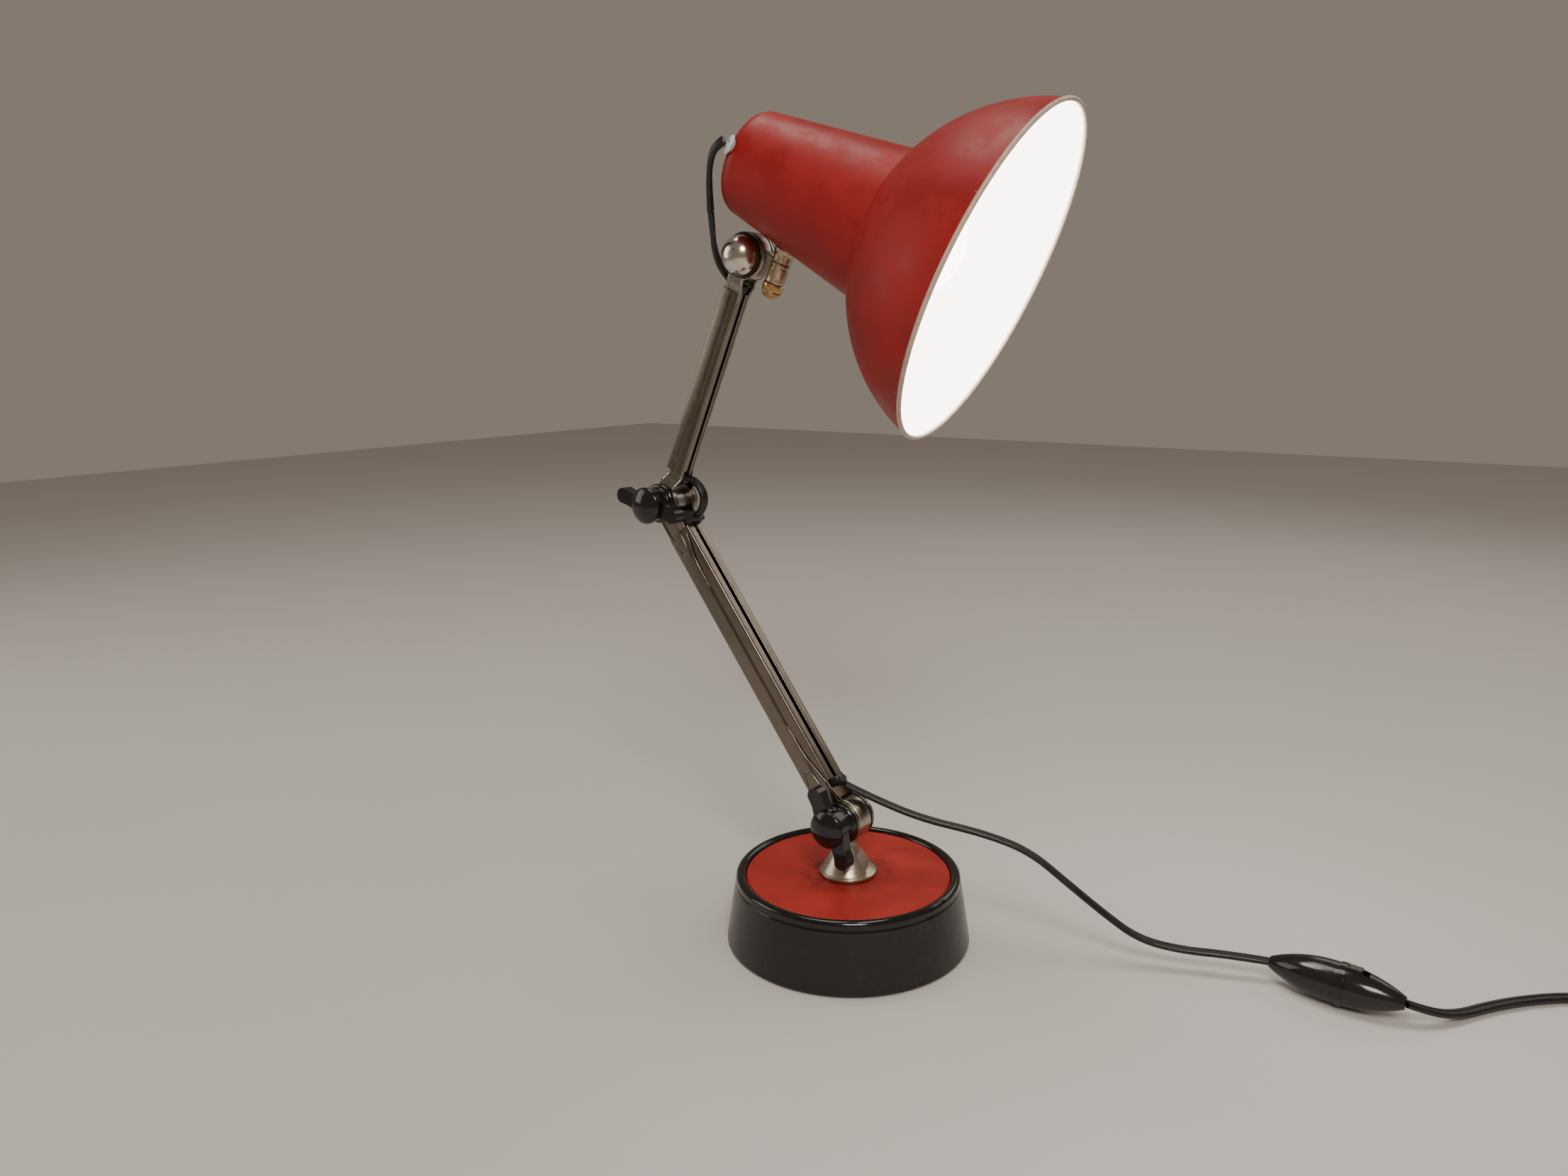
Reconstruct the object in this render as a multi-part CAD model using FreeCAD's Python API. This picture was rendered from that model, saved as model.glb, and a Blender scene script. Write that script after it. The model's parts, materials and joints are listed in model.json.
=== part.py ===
import FreeCAD, Part
import math
import os
from FreeCAD import Placement, Rotation, Vector

# Desk lamp on a round weighted base: two slotted steel arms, three hinges with
# hand-tightened wing knobs, and a spun shade that swivels on a short barrel.
# Millimetres. +Z up, origin at the middle of the base's underside, arms in the
# XZ plane, hinge axes along Y, knobs of the two lower hinges on the -Y side.

# ---------------------------------------------------------------- base
BASE_RADIUS = 70.0          # shell at the table
BASE_TOP_RADIUS = 64.0      # shell at the top bead
BASE_HEIGHT = 40.2          # to the crest of the bead
SHELL_WALL = 3.0
DISC_RADIUS = 58.6          # painted disc inside the bead
DISC_THICK = 1.2
DISC_TOP = 38.4
PAD_THICK = 2.0
BALLAST_RADIUS = 54.0
BALLAST_BOTTOM = 9.0
BALLAST_THICK = 16.0

# ---------------------------------------------------------------- foot
CONE_RADIUS = 16.6
CONE_NECK_RADIUS = 6.4
CONE_FLANGE = 1.6
CONE_HEIGHT = 16.0
HUB_RADIUS = 12.6           # drum of the base hinge
HINGE_HEIGHT = 71.6         # base hinge axis above the table

# ---------------------------------------------------------------- fits
BOLT_RADIUS = 3.0
FIT = 0.05                  # radial clearance of a turning pin
FACE_GAP = 0.1              # between faces that slide
WASHER_THICK = 0.5

# ---------------------------------------------------------------- arms
LOWER_LENGTH = 215.0        # base hinge to elbow
LOWER_TILT = -36.8          # degrees from upright, negative leans to -X
LOWER_WIDTH = 15.4          # along Y
LOWER_DEPTH = 17.4          # across, in the arm plane
LOWER_WALL = 1.3
RAIL_SHIFT = -1.5           # rails sit this far behind the hinge line
LOWER_SLOT = 2.8
LOWER_FOOT_GAP = 24.0       # hinge axis to the end of the rail
LOWER_HEAD_GAP = 20.5
UPPER_LENGTH = 153.8        # elbow to head hinge
UPPER_TILT = 24.3
UPPER_WIDTH = 11.0
UPPER_DEPTH = 13.0
UPPER_WALL = 1.1
UPPER_SLOT = 2.2
UPPER_END_GAP = 20.5
STRIP_THICK = 1.2           # the two pressed strips inside the upper arm
STRIP_WIDTH = 10.4
BASE_EAR_RADIUS = 12.3
ELBOW_EAR_RADIUS = 11.4
HEAD_EAR_RADIUS = 12.6

# ---------------------------------------------------------------- head
HEAD_TILT = 26.0            # shade axis below level
HEAD_SWIVEL = 10.7          # shade turned about the barrel
HEAD_HUB_RADIUS = 12.8
HEAD_HUB_HALF = 4.2
DOME_RADIUS = 10.9
DOME_WASHER_THICK = 1.2
BARREL_OFFSET = 21.6        # head hinge axis to barrel axis
BARREL_RADIUS = 5.3
BARREL_BOTTOM = -5.9
BARREL_TOP = 5.7
CAP_LENGTH = 8.8
SHADE_RISE = 46.1           # head hinge axis to shade axis, along the barrel

# ---------------------------------------------------------------- shade
NECK_RADIUS = 32.7          # outer radius where the barrel axis crosses
NECK_SLOPE = 0.151
BACK_X = -40.2              # closed end
BACK_CORNER = 9.0
NECK_FRONT_X = 50.9         # neck meets the dish
RIM_X = 111.6
RIM_RADIUS = 88.4
DISH_SAG = 8.4              # bulge of the dish's arc
SHADE_WALL = 1.0
RIM_BEAD = 1.2

# ---------------------------------------------------------------- lamp
HOLDER_BACK = -27.0
HOLDER_LENGTH = 46.0
CAP_RADIUS = 13.2
THREAD_WALL = 1.5
HOLDER_WALL = 3.0
HOLDER_RADIUS = CAP_RADIUS + THREAD_WALL + HOLDER_WALL + 1.8
CAP_BACK = -13.0
CAP_TIP = 0.6
CAP_LENGTH_E27 = 25.0
GLASS_WALL = 0.8
BULB_RADIUS = 30.0
BULB_LENGTH = 105.0

# ---------------------------------------------------------------- knobs
KNOB_HEIGHT = 17.6
KNOB_CAP_RADIUS = 10.8
KNOB_WAIST_RADIUS = 9.6
KNOB_SKIRT_RADIUS = 11.8
KNOB_DOME = 3.4             # rise of the domed cap
KNOB_CROWN = 5.0            # solid crown above the blind bore
SHAFT_REACH = KNOB_HEIGHT - KNOB_CROWN - 0.4    # how far a bolt runs into its knob
ELBOW_HEAD_THICK = 2.0
WING_REACH = 24.2
WING_TIP_RADIUS = 4.6
WING_SEAT = 5.6
WING_THICK = 6.0
INSERT_FLATS = 10.0

# ---------------------------------------------------------------- lead
CORD = 4.4                  # diameter of the lead's round stand-in
SWITCH_LENGTH = 65.8
SWITCH_RADIUS = 10.8
SWITCH_TIP = 3.2            # radius of its ends
SLIDER_START = 6.0          # slider's near end from the switch's middle
PLUG_RADIUS = 13.4
PIN_PITCH = 19.0
PIN_RADIUS = 2.0
PIN_LENGTH = 19.0
COIL_MEAN = 66.0
COIL_HALF_WIDTH = 6.4
COIL_HEIGHT = 12.0

os.makedirs("parts", exist_ok=True)
# routes of the lead, each a row of corners
ELBOW_DRAWN = Vector(-128.79, 0.0, 243.757)    # elbow that the elbow's route is drawn about
HEAD_DRAWN = Vector(-65.499, 0.0, 383.931)      # head hinge that the head's routes are drawn about
ELBOW_ROUTE = [
    (-115.0, 0, 258.9), (-109.8, 0, 257.4), (-104.2, 0, 253.0), (-102.4, 0, 246.0),
    (-105.4, 0, 239.4), (-110.4, 0, 236.2),
]
HEAD_ROUTE_SHADE = [
    (-54.6, -33.0, 439.2), (-59.6, -34.0, 436.8), (-64.0, -32.8, 431.8), (-67.6, -30.2, 424.4), (-70.4, -27.0, 415.8),
    (-72.6, -23.8, 406.8),
]
HEAD_ROUTE_ARM = [
    (-72.8, -23.4, 405.9), (-75.0, -19.8, 397.2), (-78.6, -14.6, 388.6), (-81.6, -7.4, 380.6), (-80.4, -1.2, 373.6),
    (-75.4, 0.0, 368.6),
]
MAINS_ROUTE = [
    (-1.6, 0.4, 91.2), (12.0, 7.6, 83.8), (38.0, 18.6, 74.0), (68.0, 30.4, 69.4), (93.0, 40.6, 61.4),
    (112.0, 48.6, 45.0), (131.0, 56.4, 29.0), (149.0, 63.8, 15.6), (170.0, 72.6, 12.0), (192.0, 81.4, 12.6),
    (211.7, 89.3, 11.5),
]
TAIL_ROUTE = [
    (277.5, 87.1, 11.5), (289.0, 95.0, 6.4), (299.0, 108.0, 2.9), (310.0, 126.0, 2.6), (325.0, 144.6, 2.6),
    (343.0, 161.0, 2.6), (363.0, 169.0, 3.4),
]
COIL_CENTRE = Vector(395.0, 196.0, 0.0)
PLUG_ROUTE = [(404.0, 237.6, 6.4), (420.0, 238.0, 8.0), (437.0, 232.0, 11.0), (450.0, 221.0, 13.6)]
BORE_ROOM = 0.6                # a bush's bore over the lead that bends through it

SHAPES = {}


def keep(name, shape):
    """Place one named piece in the model."""
    SHAPES[name] = shape


def turned(shape, placement):
    """Return a copy of shape moved by placement."""
    copy = shape.copy()
    copy.Placement = placement.multiply(copy.Placement)
    return copy


def about_y(degrees, origin):
    """Frame at origin, turned about Y."""
    return Placement(origin, Rotation(Vector(0, 1, 0), degrees))


def y_cylinder(radius, y_from, y_to, x=0.0, z=0.0):
    """Cylinder along Y between two stations."""
    return Part.makeCylinder(radius, y_to - y_from, Vector(x, y_from, z), Vector(0, 1, 0))


def y_ring(outer, inner, y_from, y_to):
    """Washer about the Y axis."""
    return y_cylinder(outer, y_from, y_to).cut(y_cylinder(inner, y_from - 1, y_to + 1))


def z_ring(outer, inner, z_from, height):
    """Washer about the Z axis."""
    ring = Part.makeCylinder(outer, height, Vector(0, 0, z_from))
    return ring.cut(Part.makeCylinder(inner, height + 2, Vector(0, 0, z_from - 1)))


def hexagon(across_flats, height, z_from):
    """Hexagonal prism along Z."""
    corner = across_flats / math.sqrt(3.0)
    turns = [math.radians(60 * step) for step in range(7)]
    outline = Part.makePolygon([Vector(corner * math.cos(t), corner * math.sin(t), z_from) for t in turns])
    return Part.Face(outline).extrude(Vector(0, 0, height))


def box_between(low, high):
    """Box between two corners."""
    return Part.makeBox(high[0] - low[0], high[1] - low[1], high[2] - low[2], Vector(*low))


def upright_edges(shape, x_sign, reach):
    """Long edges of a prism along Z on one side of X."""
    chosen = []
    for edge in shape.Edges:
        ends = [vertex.Point for vertex in edge.Vertexes]
        if len(ends) == 2 and abs(ends[0].x - ends[1].x) < 1e-6 and abs(ends[0].y - ends[1].y) < 1e-6:
            if ends[0].x * x_sign > reach - 1e-6:
                chosen.append(edge)
    return chosen


def revolve(edges, axis):
    """Solid of revolution from a closed loop of edges about an axis through the origin."""
    return Part.Face(Part.Wire(edges)).revolve(Vector(0, 0, 0), axis, 360)


def lines(points):
    """Edges joining points in turn."""
    return [Part.LineSegment(a, b).toShape() for a, b in zip(points, points[1:])]


def arc(start, middle, end):
    """Edge of the arc through three points."""
    return Part.Arc(start, middle, end).toShape()


def rounded_route(points, share=0.45):
    """Wire of straight runs joined by tangent arcs, and its arc radii."""
    spots = [Vector(*p) for p in points]
    edges = []
    radii = []
    previous = spots[0]
    for before, corner, after in zip(spots, spots[1:], spots[2:]):
        incoming = (corner - before).normalize()
        outgoing = (after - corner).normalize()
        shorter = min((corner - before).Length, (after - corner).Length)
        setback = share * shorter
        turn = incoming.getAngle(outgoing)
        radii.append(setback / math.tan(turn / 2.0))
        start = corner - incoming * setback
        end = corner + outgoing * setback
        inward = (outgoing - incoming).normalize()
        sagitta = radii[-1] / math.cos(turn / 2.0) - radii[-1]
        edges.append(Part.LineSegment(previous, start).toShape())
        edges.append(arc(start, corner + inward * sagitta, end))
        previous = end
    edges.append(Part.LineSegment(previous, spots[-1]).toShape())
    return Part.Wire(edges), radii


def tube(name, points, diameter=CORD, share=0.45):
    """Round cord along a rounded route; prints its radii and checks its volume."""
    route, radii = rounded_route(points, share)
    start = Vector(*points[0])
    direction = Vector(*points[1]) - start
    section = Part.Wire(Part.makeCircle(diameter / 2.0, start, direction))
    solid = route.makePipeShell([section], True, False)
    expected = math.pi * diameter ** 2 / 4.0 * route.Length
    print("%s length %.1f radii %s volume ratio %.4f" % (
        name, route.Length, [round(r, 1) for r in radii], solid.Volume / expected))
    return solid


# ------------------------------------------------------------------ base
def base_shell():
    """Tapered moulded shell with a rounded bead and a ledge for the disc."""
    slope = (BASE_RADIUS - BASE_TOP_RADIUS) / BASE_HEIGHT
    bead = (BASE_TOP_RADIUS - DISC_RADIUS) / 2.0
    bead_z = BASE_HEIGHT - bead
    outer_top = Vector(BASE_RADIUS - slope * bead_z, 0, bead_z)
    crest = Vector(outer_top.x - bead, 0, BASE_HEIGHT)
    inner_lip = Vector(DISC_RADIUS + 0.15, 0, DISC_TOP - 0.3)
    ledge_z = DISC_TOP - DISC_THICK
    ledge_in = DISC_RADIUS - 8.0
    roof = ledge_z - SHELL_WALL
    inner_top = Vector(outer_top.x - SHELL_WALL, 0, roof)
    points = [
        inner_lip,
        Vector(inner_lip.x, 0, ledge_z),
        Vector(ledge_in, 0, ledge_z),
        Vector(ledge_in, 0, roof),
        inner_top,
        Vector(BASE_RADIUS - SHELL_WALL, 0, 0),
        Vector(BASE_RADIUS, 0, 0),
        outer_top,
    ]
    mid = Vector((outer_top.x + crest.x) / 2 + 0.3 * bead, 0, (outer_top.z + crest.z) / 2 + 0.28 * bead)
    fall = Vector((crest.x + inner_lip.x) / 2 - 0.2 * bead, 0, (crest.z + inner_lip.z) / 2 + 0.24 * bead)
    edges = lines(points) + [arc(outer_top, mid, crest), arc(crest, fall, inner_lip)]
    return revolve(edges, Vector(0, 0, 1))


def base_pieces():
    """Shell, painted disc, ballast, spacer and underside pad."""
    bore = BOLT_RADIUS + FIT
    spacer_bottom = BALLAST_BOTTOM + BALLAST_THICK
    disc_bottom = DISC_TOP - DISC_THICK
    keep("base_shell", base_shell())
    keep("top_disc", z_ring(DISC_RADIUS, bore, disc_bottom, DISC_THICK))
    ballast = z_ring(BALLAST_RADIUS, bore, BALLAST_BOTTOM, BALLAST_THICK)
    keep("base_spacer", z_ring(9.0, bore, spacer_bottom, disc_bottom - spacer_bottom))
    pad_radius = BASE_RADIUS - SHELL_WALL - 0.5
    keep("base_pad", Part.makeCylinder(pad_radius, PAD_THICK))
    for step in range(4):
        foot = box_between((BALLAST_RADIUS - 14, -5.0, PAD_THICK), (BALLAST_RADIUS - 3, 5.0, BALLAST_BOTTOM + 1))
        foot.rotate(Vector(0, 0, 0), Vector(0, 0, 1), 45 + 90 * step)
        ballast = ballast.fuse(foot)
    keep("ballast_weight", ballast.removeSplitter())


# ------------------------------------------------------------------ foot
def foot_pieces():
    """Cone foot with its hinge drum, and the bolt that turns in the base."""
    bottom = DISC_TOP + WASHER_THICK + FACE_GAP
    shoulder = bottom + CONE_FLANGE
    neck_z = shoulder + CONE_HEIGHT - 2.0
    flange = Part.makeCylinder(CONE_RADIUS, CONE_FLANGE, Vector(0, 0, bottom))
    cone = Part.makeCone(CONE_RADIUS - 0.4, CONE_NECK_RADIUS, neck_z - shoulder, Vector(0, 0, shoulder))
    neck = Part.makeCylinder(CONE_NECK_RADIUS, HINGE_HEIGHT - neck_z, Vector(0, 0, neck_z))
    half = LOWER_WIDTH / 2 - LOWER_WALL - WASHER_THICK - FACE_GAP
    neck = neck.common(box_between((-20, -half, neck_z), (20, half, HINGE_HEIGHT)))
    drum = y_cylinder(HUB_RADIUS, -half, half, 0, HINGE_HEIGHT)
    body = flange.fuse(cone).fuse(neck).fuse(drum).removeSplitter()
    body = body.cut(y_cylinder(BOLT_RADIUS + FIT, -half - 5, half + 5, 0, HINGE_HEIGHT))
    stud_top = HINGE_HEIGHT - HUB_RADIUS - 0.5
    body = body.cut(Part.makeCylinder(BOLT_RADIUS, stud_top - bottom, Vector(0, 0, bottom)))
    keep("foot_cone", body)
    keep("foot_washer", z_ring(CONE_RADIUS - 1.2, BOLT_RADIUS + FIT, DISC_TOP, WASHER_THICK))
    stud_bottom = 2.6
    keep("foot_stud", Part.makeCylinder(BOLT_RADIUS, stud_top - stud_bottom, Vector(0, 0, stud_bottom)))
    spring = z_ring(6.0, BOLT_RADIUS, BALLAST_BOTTOM - 1.6, 1.6 - FACE_GAP)
    nut_top = BALLAST_BOTTOM - 1.6
    nut = hexagon(INSERT_FLATS, 4.2, nut_top - 4.2).cut(Part.makeCylinder(BOLT_RADIUS, 10, Vector(0, 0, 0)))
    keep("foot_nut_set", Part.makeCompound([nut, spring]))


# ------------------------------------------------------------------ arms
def rail_section(width, depth, wall, slot, waist, inset):
    """Corner points of half a slotted rail's section, y >= 0, outer then inner."""
    back = depth / 2
    side = width / 2
    low = side - inset
    outer = [(-back, 0), (-back, side), (waist, side), (waist + inset, low), (back, low), (back, slot / 2)]
    inner = [
        (back - wall, slot / 2),
        (back - wall, low - wall),
        (waist + inset, low - wall),
        (waist, side - wall),
        (-back + wall, side - wall),
        (-back + wall, 0),
    ]
    return outer, inner


def rail(width, depth, wall, slot, waist, inset, z_from, z_to):
    """Slotted rail along Z, its slot towards +X, a crease on each side, set back by RAIL_SHIFT."""
    outer, inner = rail_section(width, depth, wall, slot, waist, inset)
    half = outer + inner
    ring = half + [(x, -y) for x, y in reversed(half[1:-1])]
    points = [Vector(x, y, z_from) for x, y in ring]
    solid = Part.Face(Part.makePolygon(points + points[:1])).extrude(Vector(0, 0, z_to - z_from))
    edges = [e for e in upright_edges(solid, 1, depth / 2) if abs(e.Vertexes[0].Point.y) > slot]
    edges += upright_edges(solid, -1, depth / 2)
    return solid.makeFillet(min(1.0, wall * 0.8), edges).translated(Vector(RAIL_SHIFT, 0, 0))


def ear(radius, strip_low, strip_high, reach, y_from, y_to):
    """Flat ear about the origin, with a strip up to z = reach."""
    disc = y_cylinder(radius, y_from, y_to)
    low_z = min(0.0, reach)
    high_z = max(0.0, reach)
    strip = box_between((strip_low, y_from, low_z), (strip_high, y_to, high_z))
    return disc.fuse(strip).removeSplitter()


def lower_arm_pieces():
    """Rail with its ears, hinge bolt, washers, bushes and the lead inside."""
    frame = about_y(LOWER_TILT, Vector(0, 0, HINGE_HEIGHT))
    side = LOWER_WIDTH / 2
    waist = LOWER_DEPTH * 0.08
    body = rail(LOWER_WIDTH, LOWER_DEPTH, LOWER_WALL, LOWER_SLOT, waist, 0.7,
                LOWER_FOOT_GAP, LOWER_LENGTH - LOWER_HEAD_GAP)
    low = -LOWER_DEPTH / 2 + RAIL_SHIFT
    high = LOWER_DEPTH / 2 + RAIL_SHIFT
    for sign in (-1, 1):
        y_low = min(sign * side, sign * (side - LOWER_WALL))
        y_high = y_low + LOWER_WALL
        foot = ear(BASE_EAR_RADIUS, low + 0.4, high - 1.2, LOWER_FOOT_GAP + 6, y_low, y_high)
        head = ear(ELBOW_EAR_RADIUS, low + 1.6, high - 1.6, -LOWER_HEAD_GAP - 6, y_low, y_high)
        body = body.fuse(foot).fuse(head.translated(Vector(0, 0, LOWER_LENGTH)))
    hole = y_cylinder(BOLT_RADIUS, -20, 20)
    body = body.cut(hole).cut(y_cylinder(BOLT_RADIUS + FIT, -20, 20, 0, LOWER_LENGTH))
    keep("lower_arm_rail", turned(body, frame))

    head_from = side
    shaft = y_cylinder(BOLT_RADIUS, -side - FACE_GAP - SHAFT_REACH, head_from + 1)
    head = y_cylinder(BASE_EAR_RADIUS - 1.0, head_from, head_from + 2.6)
    head = head.makeFillet(0.9, [e for e in head.Edges if e.BoundBox.YMin > head_from + 2.5])
    keep("base_hinge_bolt", turned(shaft.fuse(head).removeSplitter(), frame))
    inner = side - LOWER_WALL
    pair = [y_ring(HUB_RADIUS - 1.5, BOLT_RADIUS, inner - WASHER_THICK, inner)]
    pair.append(y_ring(HUB_RADIUS - 1.5, BOLT_RADIUS, -inner, -inner + WASHER_THICK))
    keep("base_hinge_washers", turned(Part.makeCompound(pair), frame))
    spacer = y_ring(8.2, BOLT_RADIUS + FIT, -inner, inner)
    keep("elbow_spacer", turned(spacer.translated(Vector(0, 0, LOWER_LENGTH)), frame))

    keep("lead_exit_bush", turned(exit_bush(), frame))
    bush = turned(elbow_bush(), frame).cut(tube("bore in the wedge", elbow_route(), CORD + BORE_ROOM))
    keep("elbow_lower_bush", bush)
    inside = [(3.2, 0, LOWER_FOOT_GAP + 4.2), (0.4, 0, LOWER_FOOT_GAP + 34)]
    inside += [(-0.6, 0, LOWER_LENGTH / 2), (0.6, 0, LOWER_LENGTH - 48), (4.0, 0, LOWER_LENGTH - 25.2)]
    keep("lower_arm_lead", turned(tube("lower_arm_lead", inside), frame))


def exit_bush():
    """Rubber boot in the rail's lower mouth; the lead leaves square to the arm."""
    back = LOWER_DEPTH / 2 + RAIL_SHIFT
    inner = LOWER_WIDTH / 2 - LOWER_WALL - 0.1
    mouth_z = LOWER_FOOT_GAP
    plug = box_between((-2.0, -inner + 0.7, mouth_z - 3.6), (back - LOWER_WALL - 0.1, inner - 0.7, mouth_z + 3.6))
    boot = Part.makeCone(5.2, 3.6, 7.0, Vector(back - LOWER_WALL - 1.2, 0, mouth_z - 0.2), Vector(0.82, 0, -0.57))
    trim = box_between((back - 4, -20, mouth_z), (back + 20, 20, mouth_z + 20))
    boot = boot.cut(trim)
    return plug.fuse(boot).removeSplitter()


def elbow_bush():
    """Wedge of rubber in the rail's upper mouth."""
    inner = LOWER_WIDTH / 2 - LOWER_WALL - 0.8
    top = LOWER_LENGTH - 12.2
    bottom = LOWER_LENGTH - 24.6
    back = LOWER_DEPTH / 2 + RAIL_SHIFT
    points = [
        (0.2, bottom), (0.2, top - 1.0), (3.6, top + 0.6), (8.0, top), (12.4, top - 5.6),
        (12.0, top - 8.4), (back + 0.3, LOWER_LENGTH - LOWER_HEAD_GAP + 0.1),
        (back - LOWER_WALL - 0.1, LOWER_LENGTH - LOWER_HEAD_GAP + 0.1), (back - LOWER_WALL - 0.1, bottom),
    ]
    outline = [Vector(x, -inner, z) for x, z in points]
    return Part.Face(Part.makePolygon(outline + outline[:1])).extrude(Vector(0, 2 * inner, 0))


def strip_outline():
    """Side outline of an upper strip: a disc at each end of a straight band."""
    half = STRIP_WIDTH / 2
    band = box_between((RAIL_SHIFT - half, -20, 0), (RAIL_SHIFT + half, 20, UPPER_LENGTH))
    low = y_cylinder(ELBOW_EAR_RADIUS, -20, 20)
    high = y_cylinder(HEAD_EAR_RADIUS, -20, 20, 0, UPPER_LENGTH)
    return band.fuse(low).fuse(high)


def strip(sign):
    """One pressed strip of the upper arm, splayed at both ends into ears."""
    inside = UPPER_WIDTH / 2 - UPPER_WALL - STRIP_THICK
    elbow_y = LOWER_WIDTH / 2 + WASHER_THICK + FACE_GAP
    head_y = HEAD_HUB_HALF + WASHER_THICK + FACE_GAP
    path = [
        (elbow_y, -ELBOW_EAR_RADIUS - 1), (elbow_y, 12.0), (inside, 19.0),
        (inside, UPPER_LENGTH - 19.5), (head_y, UPPER_LENGTH - 15.0),
        (head_y, UPPER_LENGTH + HEAD_EAR_RADIUS + 1),
    ]
    face = path + [(y + STRIP_THICK, z) for y, z in reversed(path)]
    points = [Vector(-20, sign * y, z) for y, z in face]
    sheet = Part.Face(Part.makePolygon(points + points[:1])).extrude(Vector(40, 0, 0))
    shaped = sheet.common(strip_outline())
    shaped = shaped.cut(y_cylinder(BOLT_RADIUS, -20, 20))
    return shaped.cut(y_cylinder(BOLT_RADIUS + FIT, -20, 20, 0, UPPER_LENGTH))


def upper_frame():
    """Frame of the upper arm: elbow at its origin, arm along its Z."""
    lower = about_y(LOWER_TILT, Vector(0, 0, HINGE_HEIGHT))
    elbow = lower.multVec(Vector(0, 0, LOWER_LENGTH))
    return about_y(UPPER_TILT, elbow)


def elbow_route():
    """Route of the lead round the elbow, wherever the elbow is."""
    shift = upper_frame().Base - ELBOW_DRAWN
    return [tuple(Vector(*spot) + shift) for spot in ELBOW_ROUTE]


def head_route(route):
    """A route of the lead at the head, wherever the head hinge is."""
    shift = upper_frame().multVec(Vector(0, 0, UPPER_LENGTH)) - HEAD_DRAWN
    return [tuple(Vector(*spot) + shift) for spot in route]


def upper_arm_pieces():
    """Slotted sleeve over two strips, the elbow bolt, dome nut, bushes and lead."""
    frame = upper_frame()
    sleeve = rail(UPPER_WIDTH, UPPER_DEPTH, UPPER_WALL, UPPER_SLOT, UPPER_DEPTH * 0.08, 0.0,
                  UPPER_END_GAP, UPPER_LENGTH - UPPER_END_GAP)
    keep("upper_arm_sleeve", turned(sleeve, frame))
    keep("upper_strips", turned(Part.makeCompound([strip(-1), strip(1)]), frame))

    ear_out = LOWER_WIDTH / 2 + WASHER_THICK + FACE_GAP + STRIP_THICK
    shaft = y_cylinder(BOLT_RADIUS, -ear_out - FACE_GAP - SHAFT_REACH, ear_out + 1)
    head = y_cylinder(ELBOW_EAR_RADIUS, ear_out, ear_out + ELBOW_HEAD_THICK)
    head = head.makeFillet(0.8, [e for e in head.Edges if e.BoundBox.YMin > ear_out + ELBOW_HEAD_THICK - 0.1])
    keep("elbow_bolt", turned(shaft.fuse(head).removeSplitter(), frame))
    between = LOWER_WIDTH / 2 + FACE_GAP
    pair = [y_ring(ELBOW_EAR_RADIUS - 1.0, BOLT_RADIUS, between, between + WASHER_THICK)]
    pair.append(y_ring(ELBOW_EAR_RADIUS - 1.0, BOLT_RADIUS, -between - WASHER_THICK, -between))
    keep("elbow_washers", turned(Part.makeCompound(pair), frame))

    inner = UPPER_WIDTH / 2 - UPPER_WALL - STRIP_THICK - 0.1
    back = UPPER_DEPTH / 2 + RAIL_SHIFT
    low_bush = box_between((back - 5.4, -inner, 15.4), (back + 1.2, inner, UPPER_END_GAP - 0.1))
    keep("elbow_upper_bush", turned(low_bush, frame))
    top = UPPER_LENGTH - UPPER_END_GAP
    high_bush = box_between((-4.6, -inner, top - 2.0), (back - 1.2, inner, top + 4.6))
    bored = turned(high_bush, frame).cut(tube("bore in the head bush", head_route(HEAD_ROUTE_ARM), CORD + BORE_ROOM))
    keep("head_bush", bored)
    inside = [(-1.0, 0, top - 2.6), (-0.4, 0, top - 36), (0.6, 0, 60), (1.0, 0, 40), (1.5, 0, UPPER_END_GAP + 0.6)]
    keep("upper_arm_lead", turned(tube("upper_arm_lead", inside), frame))


# ------------------------------------------------------------------ knobs
def wing(turn):
    """One swept wing of a knob, set in front of its skirt."""
    root = KNOB_WAIST_RADIUS - 1.2
    reach = WING_REACH - WING_TIP_RADIUS
    lean = math.asin((root - WING_TIP_RADIUS) / reach)
    up = Vector(math.sin(lean), 0, math.cos(lean))
    down = Vector(math.sin(lean), 0, -math.cos(lean))
    centre = Vector(0, -WING_SEAT, 0)
    tip = Vector(reach, -WING_SEAT, 0)
    first = lines([centre + up * root, tip + up * WING_TIP_RADIUS])
    nose = arc(tip + up * WING_TIP_RADIUS, tip + Vector(WING_TIP_RADIUS, 0, 0), tip + down * WING_TIP_RADIUS)
    rest = lines([tip + down * WING_TIP_RADIUS, centre + down * root, centre + up * root])
    lobe = Part.Face(Part.Wire(first + [nose] + rest)).extrude(Vector(0, -WING_THICK, 0))
    lobe.rotate(Vector(0, 0, 0), Vector(0, 1, 0), turn)
    return lobe


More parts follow.
